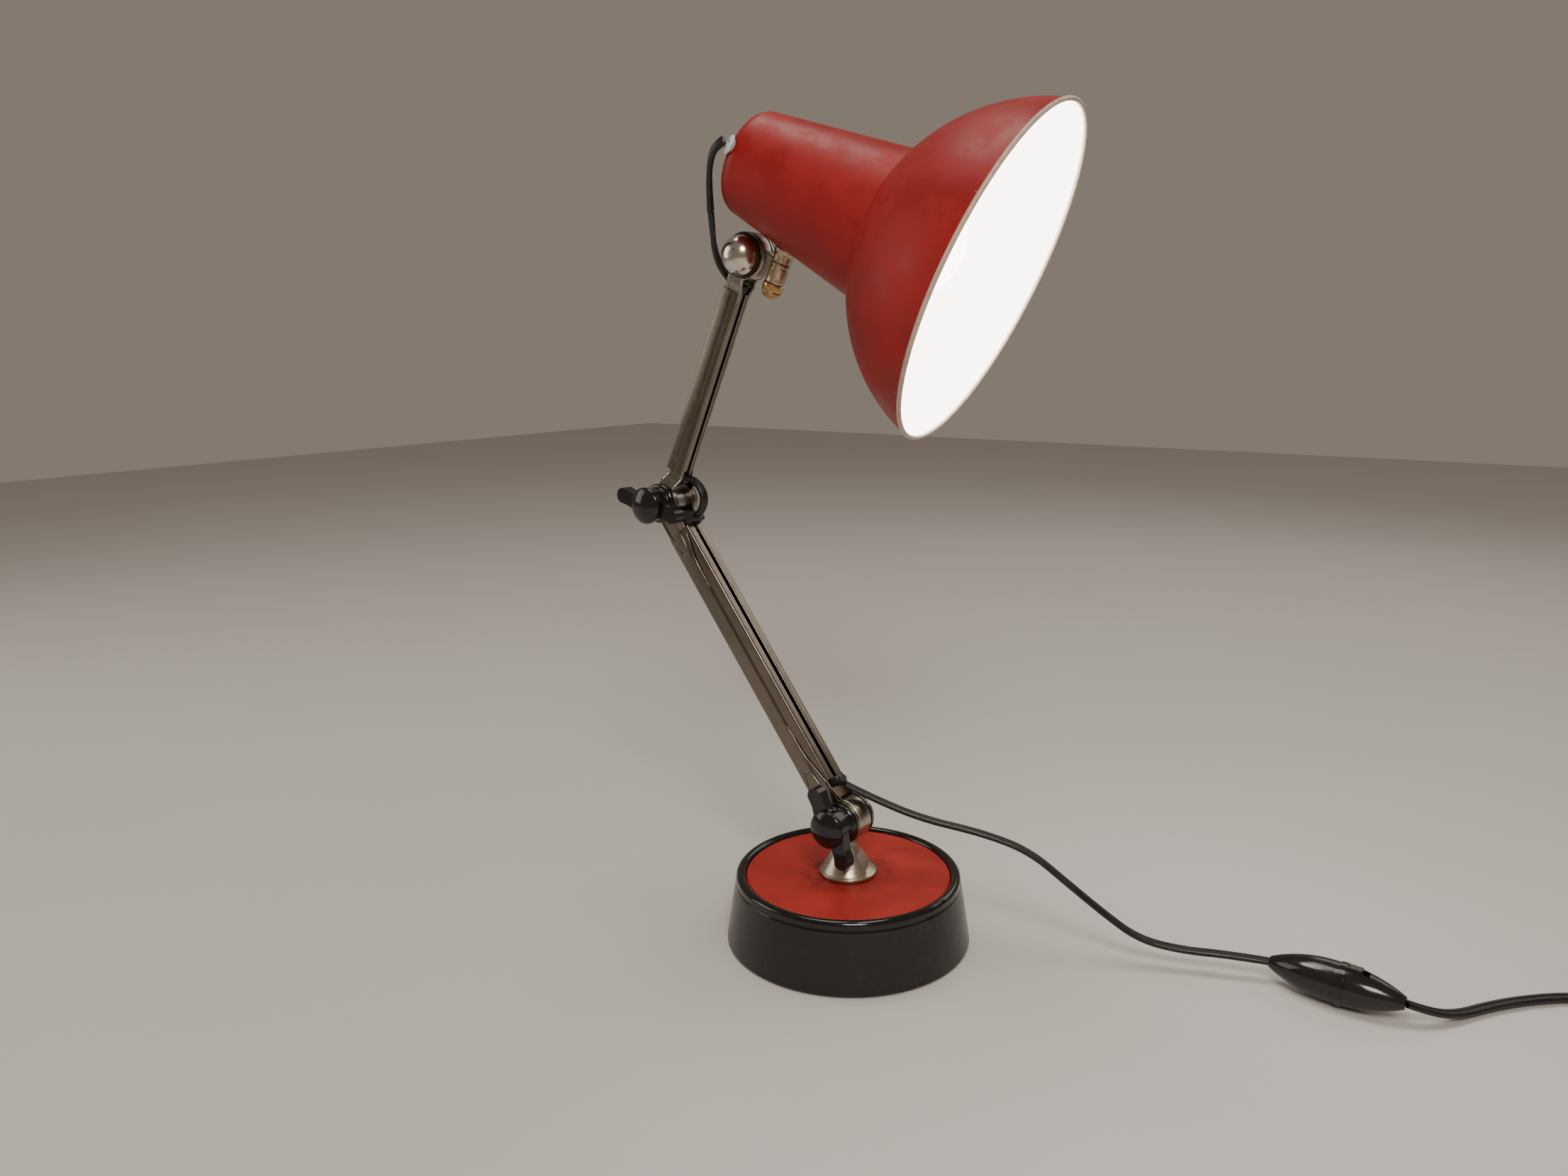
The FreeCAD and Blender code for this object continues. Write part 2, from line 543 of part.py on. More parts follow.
def knob_body(winged):
    """Knob about Y, seat at y = 0 and crown towards -Y, with two wings or none."""
    h = KNOB_HEIGHT
    bore = BOLT_RADIUS + FIT
    blind = -h + KNOB_CROWN
    profile = [
        Vector(0, blind, 0), Vector(bore, blind, 0), Vector(bore, 0, 0),
        Vector(KNOB_SKIRT_RADIUS, 0, 0), Vector(KNOB_SKIRT_RADIUS, -2.6, 0),
        Vector(KNOB_WAIST_RADIUS, -3.6, 0), Vector(KNOB_WAIST_RADIUS, -h + 6.6, 0),
        Vector(KNOB_CAP_RADIUS, -h + 5.8, 0), Vector(KNOB_CAP_RADIUS, -h + KNOB_DOME, 0),
    ]
    ball = (KNOB_CAP_RADIUS ** 2 + KNOB_DOME ** 2) / (2 * KNOB_DOME)
    half = math.asin(KNOB_CAP_RADIUS / ball) / 2
    crown_mid = Vector(ball * math.sin(half), -h + ball - ball * math.cos(half), 0)
    top = Vector(0, -h, 0)
    edges = lines(profile) + [arc(profile[-1], crown_mid, top)] + lines([top, profile[0]])
    body = revolve(edges, Vector(0, 1, 0))
    if winged:
        body = body.fuse(wing(0)).fuse(wing(180)).removeSplitter()
        body = body.cut(y_cylinder(bore, blind, 1))
    return body


def insert_nut():
    """Hexagon insert about Y, seated in the knob from y = 0."""
    nut = hexagon(INSERT_FLATS, 6.0, 0.0)
    nut.rotate(Vector(0, 0, 0), Vector(1, 0, 0), 90)
    return nut.cut(y_cylinder(BOLT_RADIUS + FIT, -20, 20))


def knob_pieces(name, frame, turn, winged=True):
    """A knob and its threaded insert with the seat in frame; the plain one faces +Y."""
    pocket = hexagon(INSERT_FLATS, 6.0, 0.0)
    pocket.rotate(Vector(0, 0, 0), Vector(1, 0, 0), 90)
    body = knob_body(winged).cut(pocket)
    nut = insert_nut()
    for shape in (body, nut):
        if not winged:
            shape.rotate(Vector(0, 0, 0), Vector(0, 0, 1), 180)
        shape.rotate(Vector(0, 0, 0), Vector(0, 1, 0), turn)
    keep(name + "_knob", turned(body, frame))
    keep(name + "_knob_insert", turned(nut, frame))


# ------------------------------------------------------------------ head
def head_frame():
    """Frame of the head bracket: hinge at the origin, barrel along its Z."""
    hinge = upper_frame().multVec(Vector(0, 0, UPPER_LENGTH))
    return about_y(HEAD_TILT, hinge)


def shade_frame():
    """Frame of the shade: its axis along X, the barrel axis along Z."""
    lift = Placement(Vector(BARREL_OFFSET, 0, SHADE_RISE), Rotation(Vector(0, 0, 1), HEAD_SWIVEL))
    return head_frame().multiply(lift)


def head_pieces():
    """Cast bracket: hub, web and barrel, with the hinge bolt through it."""
    frame = head_frame()
    hub = y_cylinder(HEAD_HUB_RADIUS, -HEAD_HUB_HALF, HEAD_HUB_HALF)
    half = 2.6
    web_points = [
        (2.0, 9.6), (BARREL_OFFSET - BARREL_RADIUS - 0.8, BARREL_TOP - 0.2), (BARREL_OFFSET, BARREL_TOP - 0.6),
        (BARREL_OFFSET, BARREL_BOTTOM + 2.6), (2.0, -10.6),
    ]
    outline = [Vector(x, -half, z) for x, z in web_points]
    web = Part.Face(Part.makePolygon(outline + outline[:1])).extrude(Vector(0, 2 * half, 0))
    height = BARREL_TOP - BARREL_BOTTOM
    barrel = Part.makeCylinder(BARREL_RADIUS, height, Vector(BARREL_OFFSET, 0, BARREL_BOTTOM))
    body = hub.fuse(web).fuse(barrel).removeSplitter()
    bore = Part.makeCylinder(BOLT_RADIUS + FIT, height + 4, Vector(BARREL_OFFSET, 0, BARREL_BOTTOM - 2))
    body = body.cut(bore).cut(y_cylinder(BOLT_RADIUS, -20, 20))
    keep("head_bracket", turned(body, frame))
    face = HEAD_HUB_HALF
    pair = [y_ring(HEAD_HUB_RADIUS - 0.9, BOLT_RADIUS, face, face + WASHER_THICK)]
    pair.append(y_ring(HEAD_HUB_RADIUS - 0.9, BOLT_RADIUS, -face - WASHER_THICK, -face))
    ear_out = face + WASHER_THICK + FACE_GAP + STRIP_THICK + FACE_GAP
    seat = ear_out + DOME_WASHER_THICK
    pair.append(y_ring(HEAD_EAR_RADIUS - 0.8, BOLT_RADIUS, -seat, -ear_out))
    pair.append(y_ring(HEAD_EAR_RADIUS - 1.6, BOLT_RADIUS, ear_out, ear_out + WASHER_THICK))
    keep("head_washers", turned(Part.makeCompound(pair), frame))
    ball = Part.makeSphere(DOME_RADIUS, Vector(0, -seat + 0.4, 0))
    dome = ball.common(box_between((-20, -seat - 20, -20), (20, -seat, 20)))
    shaft = y_cylinder(BOLT_RADIUS, -seat - 5, ear_out + WASHER_THICK + FACE_GAP + SHAFT_REACH)
    keep("head_bolt", turned(dome.fuse(shaft).removeSplitter(), frame))


# ------------------------------------------------------------------ shade
def neck_at(x, inset=0.0):
    """Neck radius at a station on the shade axis."""
    return NECK_RADIUS + NECK_SLOPE * x - inset


def shade_profile(inset):
    """Edges from the closed end's axis to the rim, offset inward by inset."""
    back = BACK_X + inset
    corner = BACK_CORNER - inset
    back_radius = neck_at(BACK_X + BACK_CORNER, inset)
    pole = Vector(back, 0, 0)
    flat = Vector(back, back_radius - corner, 0)
    bend_mid = Vector(back + corner * (1 - math.cos(math.pi / 4)), back_radius - corner * (1 - math.sin(math.pi / 4)), 0)
    bend_end = Vector(back + corner, back_radius, 0)
    junction = Vector(NECK_FRONT_X + inset, neck_at(NECK_FRONT_X, inset), 0)
    rim = Vector(RIM_X, RIM_RADIUS - inset, 0)
    chord = rim - junction
    outward = Vector(-chord.y, chord.x, 0).normalize()
    belly = (junction + rim) * 0.5 + outward * DISH_SAG
    edges = lines([pole, flat]) + [arc(flat, bend_mid, bend_end)] + lines([bend_end, junction])
    edges.append(arc(junction, belly, rim))
    return edges, pole, rim


def shade_shell():
    """Spun shade: closed conical neck flaring into an arched dish with a rolled rim."""
    outer, outer_pole, outer_rim = shade_profile(0.0)
    inner, inner_pole, inner_rim = shade_profile(SHADE_WALL)
    edges = outer + lines([outer_rim, inner_rim]) + inner[::-1] + lines([inner_pole, outer_pole])
    body = revolve(edges, Vector(1, 0, 0))
    bead = Part.makeTorus(RIM_RADIUS - SHADE_WALL / 2, RIM_BEAD, Vector(RIM_X, 0, 0), Vector(1, 0, 0))
    return body.fuse(bead).removeSplitter()


def neck_solid(inset):
    """Solid cone with the neck's outer (or inset) surface, long enough to cut with."""
    start = BACK_X - 10
    end = NECK_FRONT_X + 20
    return Part.makeCone(neck_at(start, inset), neck_at(end, inset), end - start, Vector(start, 0, 0), Vector(1, 0, 0))


def grommet_frame():
    """Grommet hole on the closed end's rounded corner, axis along its local Z."""
    angle = math.radians(-74.0)
    radial = Vector(0, math.sin(angle), math.cos(angle))
    lean = (radial * 0.66 + Vector(-0.75, 0, 0)).normalize()
    centre = Vector(BACK_X + BACK_CORNER, 0, 0) + radial * (neck_at(BACK_X + BACK_CORNER) - BACK_CORNER)
    surface = centre + lean * (BACK_CORNER - SHADE_WALL)
    return Placement(surface, Rotation(Vector(0, 0, 1), lean))


def shade_pieces():
    """Shade, its swivel stud and cap nut, the grommet and the lampholder."""
    frame = shade_frame()
    axis_down = -SHADE_RISE
    barrel_top = axis_down + BARREL_TOP
    barrel_bottom = axis_down + BARREL_BOTTOM
    hole = Part.makeCylinder(BOLT_RADIUS, 30, Vector(0, 0, -neck_at(0) - 6))
    grommet_at = grommet_frame()
    grommet_hole = turned(Part.makeCylinder(4.0, 8, Vector(0, 0, -4)), grommet_at)
    keep("shade_shell", turned(shade_shell().cut(hole).cut(grommet_hole), frame))

    collar = Part.makeCylinder(BARREL_RADIUS, 14, Vector(0, 0, barrel_top + FACE_GAP))
    collar = collar.cut(neck_solid(0.0)).cut(Part.makeCylinder(BOLT_RADIUS, 40, Vector(0, 0, barrel_top - 5)))
    keep("swivel_collar", turned(collar, frame))
    stud_top = -neck_at(0, SHADE_WALL) + 11.0
    stud = Part.makeCylinder(BOLT_RADIUS, stud_top - barrel_bottom + 5, Vector(0, 0, barrel_bottom - 5))
    keep("swivel_stud", turned(stud, frame))
    cap_seat = barrel_bottom - FACE_GAP
    cap_radius = BARREL_RADIUS + 0.5
    cap = Part.makeCylinder(cap_radius, CAP_LENGTH - 4.2, Vector(0, 0, cap_seat - CAP_LENGTH + 4.2))
    crown = Part.makeSphere(cap_radius, Vector(0, 0, 0))
    stretch = FreeCAD.Matrix()
    stretch.scale(1, 1, 4.2 / cap_radius)
    crown = crown.transformGeometry(stretch).translated(Vector(0, 0, cap_seat - CAP_LENGTH + 4.2))
    cap = cap.fuse(crown.common(box_between((-9, -9, cap_seat - 20), (9, 9, cap_seat - CAP_LENGTH + 4.2))))
    cap = cap.removeSplitter().cut(Part.makeCylinder(BOLT_RADIUS, 5, Vector(0, 0, cap_seat - 5)))
    keep("swivel_cap_nut", turned(cap, frame))

    plate_low = -neck_at(HOLDER_BACK - 2, SHADE_WALL) + 0.9
    plate_top = plate_low + 4.4
    strip_box = box_between((HOLDER_BACK - 2.0, -6, plate_low + 2.9), (8, 6, plate_top))
    upright = box_between((HOLDER_BACK - 2.0, -6, plate_low + 2.9), (HOLDER_BACK - 0.5, 6, 8))
    bracket = strip_box.fuse(upright).removeSplitter()
    bracket = bracket.cut(Part.makeCylinder(BOLT_RADIUS, 60, Vector(0, 0, -60)))
    bracket = bracket.cut(Part.makeCylinder(2.6, 10, Vector(HOLDER_BACK - 4, 0, 0), Vector(1, 0, 0)))
    keep("holder_bracket", turned(bracket, frame))
    seat_block = Part.makeCylinder(8.0, 12, Vector(0, 0, plate_low + 2.9 - 12))
    seat_block = seat_block.common(neck_solid(SHADE_WALL + FACE_GAP)).cut(Part.makeCylinder(BOLT_RADIUS, 60, Vector(0, 0, -60)))
    nut = hexagon(INSERT_FLATS, 2.2, plate_top).cut(Part.makeCylinder(BOLT_RADIUS, 60, Vector(0, 0, -60)))
    keep("swivel_clamp", turned(Part.makeCompound([seat_block, nut]), frame))
    grommet = Part.makeCylinder(5.4, 1.6, Vector(0, 0, 1.3))
    barrel = Part.makeCylinder(3.9, 5.0, Vector(0, 0, -2.9))
    flange = Part.makeCylinder(5.0, 1.2, Vector(0, 0, -2.9))
    grommet = grommet.fuse(barrel).fuse(flange).removeSplitter()
    keep("lead_grommet", turned(turned(grommet, grommet_at), frame))


def lampholder_pieces():
    """Screw lampholder on the bracket, and the lamp screwed into it."""
    frame = shade_frame()
    along = Vector(1, 0, 0)
    shell = Part.makeCylinder(HOLDER_RADIUS, HOLDER_LENGTH, Vector(HOLDER_BACK + 2.5, 0, 0), along)
    shell = shell.makeFillet(3.0, [e for e in shell.Edges if e.BoundBox.XMax < HOLDER_BACK + 3])
    bore = Part.makeCylinder(HOLDER_RADIUS - HOLDER_WALL, HOLDER_LENGTH, Vector(HOLDER_BACK + 6.5, 0, 0), along)
    ring = Part.makeCylinder(HOLDER_RADIUS + 2.4, 4.0, Vector(HOLDER_BACK + 36, 0, 0), along)
    shell = shell.fuse(ring).cut(bore)
    shell = shell.cut(Part.makeCylinder(2.6, 10, Vector(HOLDER_BACK, 0, 0), along))
    keep("lampholder_shell", turned(shell, frame))
    nipple = Part.makeCylinder(2.6, 9.0, Vector(HOLDER_BACK - 3.0, 0, 0), along)
    nipple = nipple.fuse(Part.makeCylinder(5.0, 2.4, Vector(HOLDER_BACK + 0.1 - 0.6, 0, 0), along))
    keep("holder_nipple", turned(nipple.removeSplitter(), frame))
    insert_back = HOLDER_BACK + 6.5
    sleeve_back = insert_back + 5.0
    insert = Part.makeCylinder(HOLDER_RADIUS - HOLDER_WALL, 5.0, Vector(insert_back, 0, 0), along)
    tongue = box_between((sleeve_back - 1, -3, -1.6), (CAP_BACK - CAP_TIP - FACE_GAP, 3, 1.6))
    keep("holder_insert", turned(insert.fuse(tongue).removeSplitter(), frame))
    sleeve = Part.makeCylinder(CAP_RADIUS + THREAD_WALL, 27.0, Vector(sleeve_back, 0, 0), along)
    sleeve = sleeve.cut(Part.makeCylinder(CAP_RADIUS + FIT, 40.0, Vector(sleeve_back - 1, 0, 0), along))
    keep("holder_thread", turned(sleeve, frame))
    cap = Part.makeCylinder(CAP_RADIUS, CAP_LENGTH_E27 - 3.0, Vector(CAP_BACK + 3.0, 0, 0), along)
    tip = Part.makeCone(4.8, CAP_RADIUS - 1.5, 3.0 + CAP_TIP, Vector(CAP_BACK - CAP_TIP, 0, 0), along)
    keep("bulb_cap", turned(cap.fuse(tip).removeSplitter(), frame))
    keep("bulb_glass", turned(bulb_glass(), frame))


def glass_outline(inset):
    """Edges of the lamp's envelope from its throat to its pole, offset inward."""
    start = CAP_BACK + CAP_LENGTH_E27
    end = CAP_BACK - CAP_TIP + BULB_LENGTH
    centre = end - BULB_RADIUS
    ball = BULB_RADIUS - inset
    throat = CAP_RADIUS + 0.2 - inset
    flare = math.radians(128)
    shoulder = math.radians(50)
    join = Vector(centre + ball * math.cos(flare), ball * math.sin(flare), 0)
    top = Vector(centre + ball * math.cos(shoulder), ball * math.sin(shoulder), 0)
    straight = Vector(start + 6.0, throat, 0)
    half_way = (straight + join) * 0.5 + Vector(1.0, -1.4, 0)
    edges = lines([Vector(start, throat, 0), straight]) + [arc(straight, half_way, join)]
    return edges + [arc(join, top, Vector(centre + ball, 0, 0))]


def bulb_glass():
    """Thin glass envelope, open where the cap closes it."""
    outer = glass_outline(0.0)
    inner = glass_outline(GLASS_WALL)
    mouth = lines([outer[0].valueAt(0), inner[0].valueAt(0)])
    pole = lines([outer[-1].valueAt(outer[-1].LastParameter), inner[-1].valueAt(inner[-1].LastParameter)])
    return revolve(outer + pole + inner[::-1] + mouth, Vector(1, 0, 0))


# ------------------------------------------------------------------ lead
# Routes are in the lamp's own frame at rest.
def lead_pieces():
    """The flexible stretches of the lead outside the arms."""
    keep("elbow_lead", tube("elbow_lead", elbow_route()))
    keep("head_lead_shade", tube("head_lead_shade", head_route(HEAD_ROUTE_SHADE)))
    keep("head_lead_arm", tube("head_lead_arm", head_route(HEAD_ROUTE_ARM)))
    keep("mains_lead", tube("mains_lead", MAINS_ROUTE))
    keep("mains_lead_tail", tube("mains_lead_tail", TAIL_ROUTE))
    keep("mains_lead_end", tube("mains_lead_end", PLUG_ROUTE))


def switch_half(sign):
    """Half of the torpedo body along X, from its tip to its middle."""
    length = SWITCH_LENGTH / 2
    tip = Vector(sign * length, SWITCH_TIP, 0)
    belly = Vector(sign * length * 0.5, SWITCH_RADIUS * 0.86, 0)
    waist = Vector(0, SWITCH_RADIUS, 0)
    edges = lines([waist, Vector(0, 0, 0), Vector(sign * length, 0, 0), tip])
    return revolve(edges + [arc(tip, belly, waist)], Vector(1, 0, 0))


def switch_pieces():
    """Inline torpedo switch: two halves, a collar ring and a slider."""
    start = Vector(*MAINS_ROUTE[-1])
    end = Vector(*TAIL_ROUTE[0])
    frame = Placement((start + end) * 0.5, Rotation(Vector(1, 0, 0), end - start))
    plug_half = switch_half(1)
    keep("switch_shell_lamp_side", turned(switch_half(-1), frame))
    ring = Part.makeCylinder(SWITCH_RADIUS + 0.6, 3.4, Vector(1.6, 0, 0), Vector(1, 0, 0))
    pocket = box_between((SLIDER_START - 0.4, -2.6, 5.0), (SLIDER_START + 9.6, 2.6, SWITCH_RADIUS + 3))
    keep("switch_shell_plug_side", turned(plug_half.fuse(ring).removeSplitter().cut(pocket), frame))
    slider = box_between((SLIDER_START, -2.3, 5.2), (SLIDER_START + 6.0, 2.3, SWITCH_RADIUS + 0.4))
    keep("switch_slider", turned(slider, frame))


def coil_pieces():
    """The wound rest of the lead, and its plug lying beside it."""
    inner = COIL_MEAN / 2 - COIL_HALF_WIDTH
    outer = COIL_MEAN / 2 + COIL_HALF_WIDTH
    keep("lead_coil", z_ring(outer, inner, 0.2, COIL_HEIGHT).translated(COIL_CENTRE))
    direction = (Vector(*PLUG_ROUTE[-1]) - Vector(*PLUG_ROUTE[-2])).normalize()
    level = Vector(direction.x, direction.y, 0).normalize()
    frame = Placement(Vector(*PLUG_ROUTE[-1]) + level * 0.6, Rotation(Vector(1, 0, 0), level))
    along = Vector(1, 0, 0)
    boot = Part.makeCone(3.6, 5.4, 12.0, Vector(0, 0, 0), along)
    body = Part.makeCone(8.0, PLUG_RADIUS - 0.8, 20.0, Vector(12, 0, 0), along)
    flange = Part.makeCylinder(PLUG_RADIUS, 5.0, Vector(32, 0, 0), along)
    plug = boot.fuse(body).fuse(flange).removeSplitter()
    pins = []
    for side in (-PIN_PITCH / 2, PIN_PITCH / 2):
        pins.append(Part.makeCylinder(PIN_RADIUS, PIN_LENGTH, Vector(37.0, side, 0), along))
    keep("plug_body", turned(plug, frame))
    keep("plug_pins", turned(Part.makeCompound(pins), frame))


base_pieces()
foot_pieces()
lower_arm_pieces()
upper_arm_pieces()
head_pieces()
shade_pieces()
lampholder_pieces()
BASE_KNOB_SEAT = -LOWER_WIDTH / 2 - FACE_GAP
ELBOW_KNOB_SEAT = -(LOWER_WIDTH / 2 + WASHER_THICK + FACE_GAP + STRIP_THICK) - FACE_GAP
HEAD_KNOB_SEAT = HEAD_HUB_HALF + 2 * WASHER_THICK + 2 * FACE_GAP + STRIP_THICK + FACE_GAP
knob_pieces("base", Placement(Vector(0, BASE_KNOB_SEAT, HINGE_HEIGHT), Rotation()), 63)
knob_pieces("elbow", Placement(upper_frame().Base + Vector(0, ELBOW_KNOB_SEAT, 0), Rotation()), 14)
knob_pieces("head", Placement(head_frame().Base + Vector(0, HEAD_KNOB_SEAT, 0), Rotation()), 0, False)
lead_pieces()
switch_pieces()
coil_pieces()

for node in sorted(SHAPES):
    solid = SHAPES[node]
    if not solid.isValid() or solid.Volume <= 0:
        print("PROBLEM", node, solid.isValid(), solid.Volume)
    solid.exportStep("parts/%s.step" % node)
print(len(SHAPES), "nodes")
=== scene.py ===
"""Desk lamp on a weighted base: two slotted steel arms, wing knobs, a swivelling bell shade and its lead."""
import json
import logging
import math
from dataclasses import dataclass, field
from enum import Enum
from typing import Callable, Dict, List, Optional, Sequence, Tuple

import bmesh
import bpy
from mathutils import Matrix, Quaternion, Vector


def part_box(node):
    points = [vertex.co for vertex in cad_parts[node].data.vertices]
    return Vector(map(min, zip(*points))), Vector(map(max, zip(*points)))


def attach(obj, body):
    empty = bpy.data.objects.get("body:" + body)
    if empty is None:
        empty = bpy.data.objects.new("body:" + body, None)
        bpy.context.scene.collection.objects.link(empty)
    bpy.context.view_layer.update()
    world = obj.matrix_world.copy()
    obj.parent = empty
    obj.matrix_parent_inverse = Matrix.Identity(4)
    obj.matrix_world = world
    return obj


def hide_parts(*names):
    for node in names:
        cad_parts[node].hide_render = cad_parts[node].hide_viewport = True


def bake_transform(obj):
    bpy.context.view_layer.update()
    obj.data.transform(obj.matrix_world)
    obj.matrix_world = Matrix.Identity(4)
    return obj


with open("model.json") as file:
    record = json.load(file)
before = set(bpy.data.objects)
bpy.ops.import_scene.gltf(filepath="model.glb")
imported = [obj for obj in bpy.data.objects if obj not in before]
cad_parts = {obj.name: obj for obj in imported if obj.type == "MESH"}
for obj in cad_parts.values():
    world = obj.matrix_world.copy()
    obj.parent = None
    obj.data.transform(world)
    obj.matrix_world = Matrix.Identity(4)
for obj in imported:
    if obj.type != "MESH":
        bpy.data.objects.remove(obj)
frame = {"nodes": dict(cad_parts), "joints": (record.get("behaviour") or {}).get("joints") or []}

LOG = logging.getLogger("desk_lamp")
MM = 0.001
# A turned piece stands along local Z; this lays it along local Y, the hinges' axis.
ACROSS = Matrix.Rotation(math.radians(-90), 4, "X")
# Hinge bolts: shaft radius, and how far it runs on past the near side.
SHAFT = 3.0 * MM
SHAFT_PAST = 10 * MM
# A pressed bead's height for its half width.
BEAD_RISE = 0.55
# Direction of a hand knob's first wing, in degrees.
BASE_WING = 63
ELBOW_WING = 14
# Facets round a turned piece.
FINE = 192
SMOOTH = 96
SMALL = 72
Point2 = Tuple[float, float]
Colour = Tuple[float, float, float]
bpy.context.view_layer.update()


# ---------------------------------------------------------------- places
def joint(name: str) -> Dict:
    """Return the record's joint of that name.

    Args:
        name: a joint's name.

    Returns:
        The joint's dictionary, with pos_m and axis.
    """
    return next(j for j in frame["joints"] if j["name"] == name)


def axes_at(origin: Vector, x_axis: Vector, z_axis: Vector) -> Matrix:
    """Return the placement with its origin and axes where given.

    Args:
        origin: the local origin, in the lamp's frame.
        x_axis: direction of local X.
        z_axis: direction of local Z, square to X.

    Returns:
        A 4 by 4 placement.
    """
    x_axis = x_axis.normalized()
    z_axis = z_axis.normalized()
    y_axis = z_axis.cross(x_axis)
    turn = Matrix((x_axis, y_axis, z_axis)).transposed().to_4x4()
    return Matrix.Translation(origin) @ turn


def along(origin: Vector, z_axis: Vector) -> Matrix:
    """Return a placement with local Z along z_axis and local Y as near the lamp's Y as it can be."""
    z_axis = z_axis.normalized()
    x_axis = Vector((0, 1, 0)).cross(z_axis)
    if x_axis.length < 1e-4:
        x_axis = Vector((1, 0, 0))
    return axes_at(origin, x_axis, z_axis)


class Places:
    """The lamp's hinge points and local frames, read from the record's joints."""

    def __init__(self) -> None:
        """Work the frames out."""
        self.hinge = Vector(joint("base_hinge")["pos_m"])
        self.elbow = Vector(joint("elbow_hinge")["pos_m"])
        self.head = Vector(joint("head_tilt")["pos_m"])
        self.barrel = Vector(joint("shade_swivel")["pos_m"])
        self.bulb = Vector(joint("bulb_turn")["pos_m"])
        barrel_axis = Vector(joint("shade_swivel")["axis"])
        bulb_axis = Vector(joint("bulb_turn")["axis"])
        self.lower = along(self.hinge, self.elbow - self.hinge)
        self.upper = along(self.elbow, self.head - self.elbow)
        self.bracket = along(self.head, barrel_axis)
        self.swivel = axes_at(self.bulb, bulb_axis, barrel_axis)
        self.lower_length = (self.elbow - self.hinge).length
        self.upper_length = (self.head - self.elbow).length
        self.barrel_offset = (self.barrel - self.head).length
        self.shade_rise = (self.bulb - self.barrel).length


# ---------------------------------------------------------------- outlines
def soften(points: Sequence[Point2], radius: float, steps: int = 5, closed: bool = False) -> List[Point2]:
    """Round the corners of a flat outline.

    Args:
        points: the outline's corners.
        radius: the rounding wanted, cut down where an edge is short.
        steps: points along each rounding.
        closed: whether the last point joins the first.

    Returns:
        The rounded outline.
    """
    spots = [Vector(p) for p in points]
    last = len(spots) - 1
    result: List[Point2] = []
    for index, corner in enumerate(spots):
        if not closed and index in (0, last):
            result.append(tuple(corner))
            continue
        before = spots[index - 1] - corner
        after = spots[(index + 1) % len(spots)] - corner
        reach = min(radius, 0.45 * before.length, 0.45 * after.length)
        start = corner + before.normalized() * reach
        end = corner + after.normalized() * reach
        for step in range(steps + 1):
            t = step / steps
            spot = start * (1 - t) ** 2 + corner * 2 * t * (1 - t) + end * t ** 2
            result.append(tuple(spot))
    return result


def arc_points(centre: Point2, radius: float, start: float, end: float, steps: int) -> List[Point2]:
    """Return points of an arc, with its angles in degrees."""
    turns = [math.radians(start + (end - start) * k / steps) for k in range(steps + 1)]
    return [(centre[0] + radius * math.cos(t), centre[1] + radius * math.sin(t)) for t in turns]


def wire(radius: float, steps: int = 10) -> List[Point2]:
    """Return a round section of that radius."""
    turns = [math.tau * k / steps for k in range(steps)]
    return [(radius * math.cos(t), radius * math.sin(t)) for t in turns]


def ear_outline(radius: float, left: float, right: float, reach: float) -> List[Point2]:
    """Outline of a round ear about the origin with a band running to one side.

    Args:
        radius: the ear's radius.
        left: the band's low edge across.
        right: the band's high edge across.
        reach: where the band ends along the arm, above or below the ear.

    Returns:
        The outline's points (across, along).
    """
    side = math.copysign(1.0, reach)
    start = math.degrees(math.atan2(side * math.sqrt(radius ** 2 - left ** 2), left))
    end = math.degrees(math.atan2(side * math.sqrt(radius ** 2 - right ** 2), right))
    sweep = (end - start) % 360.0 if side > 0 else -((start - end) % 360.0)
    curve = arc_points((0.0, 0.0), radius, start, start + sweep, 40)
    return [(left, reach)] + curve + [(right, reach)]


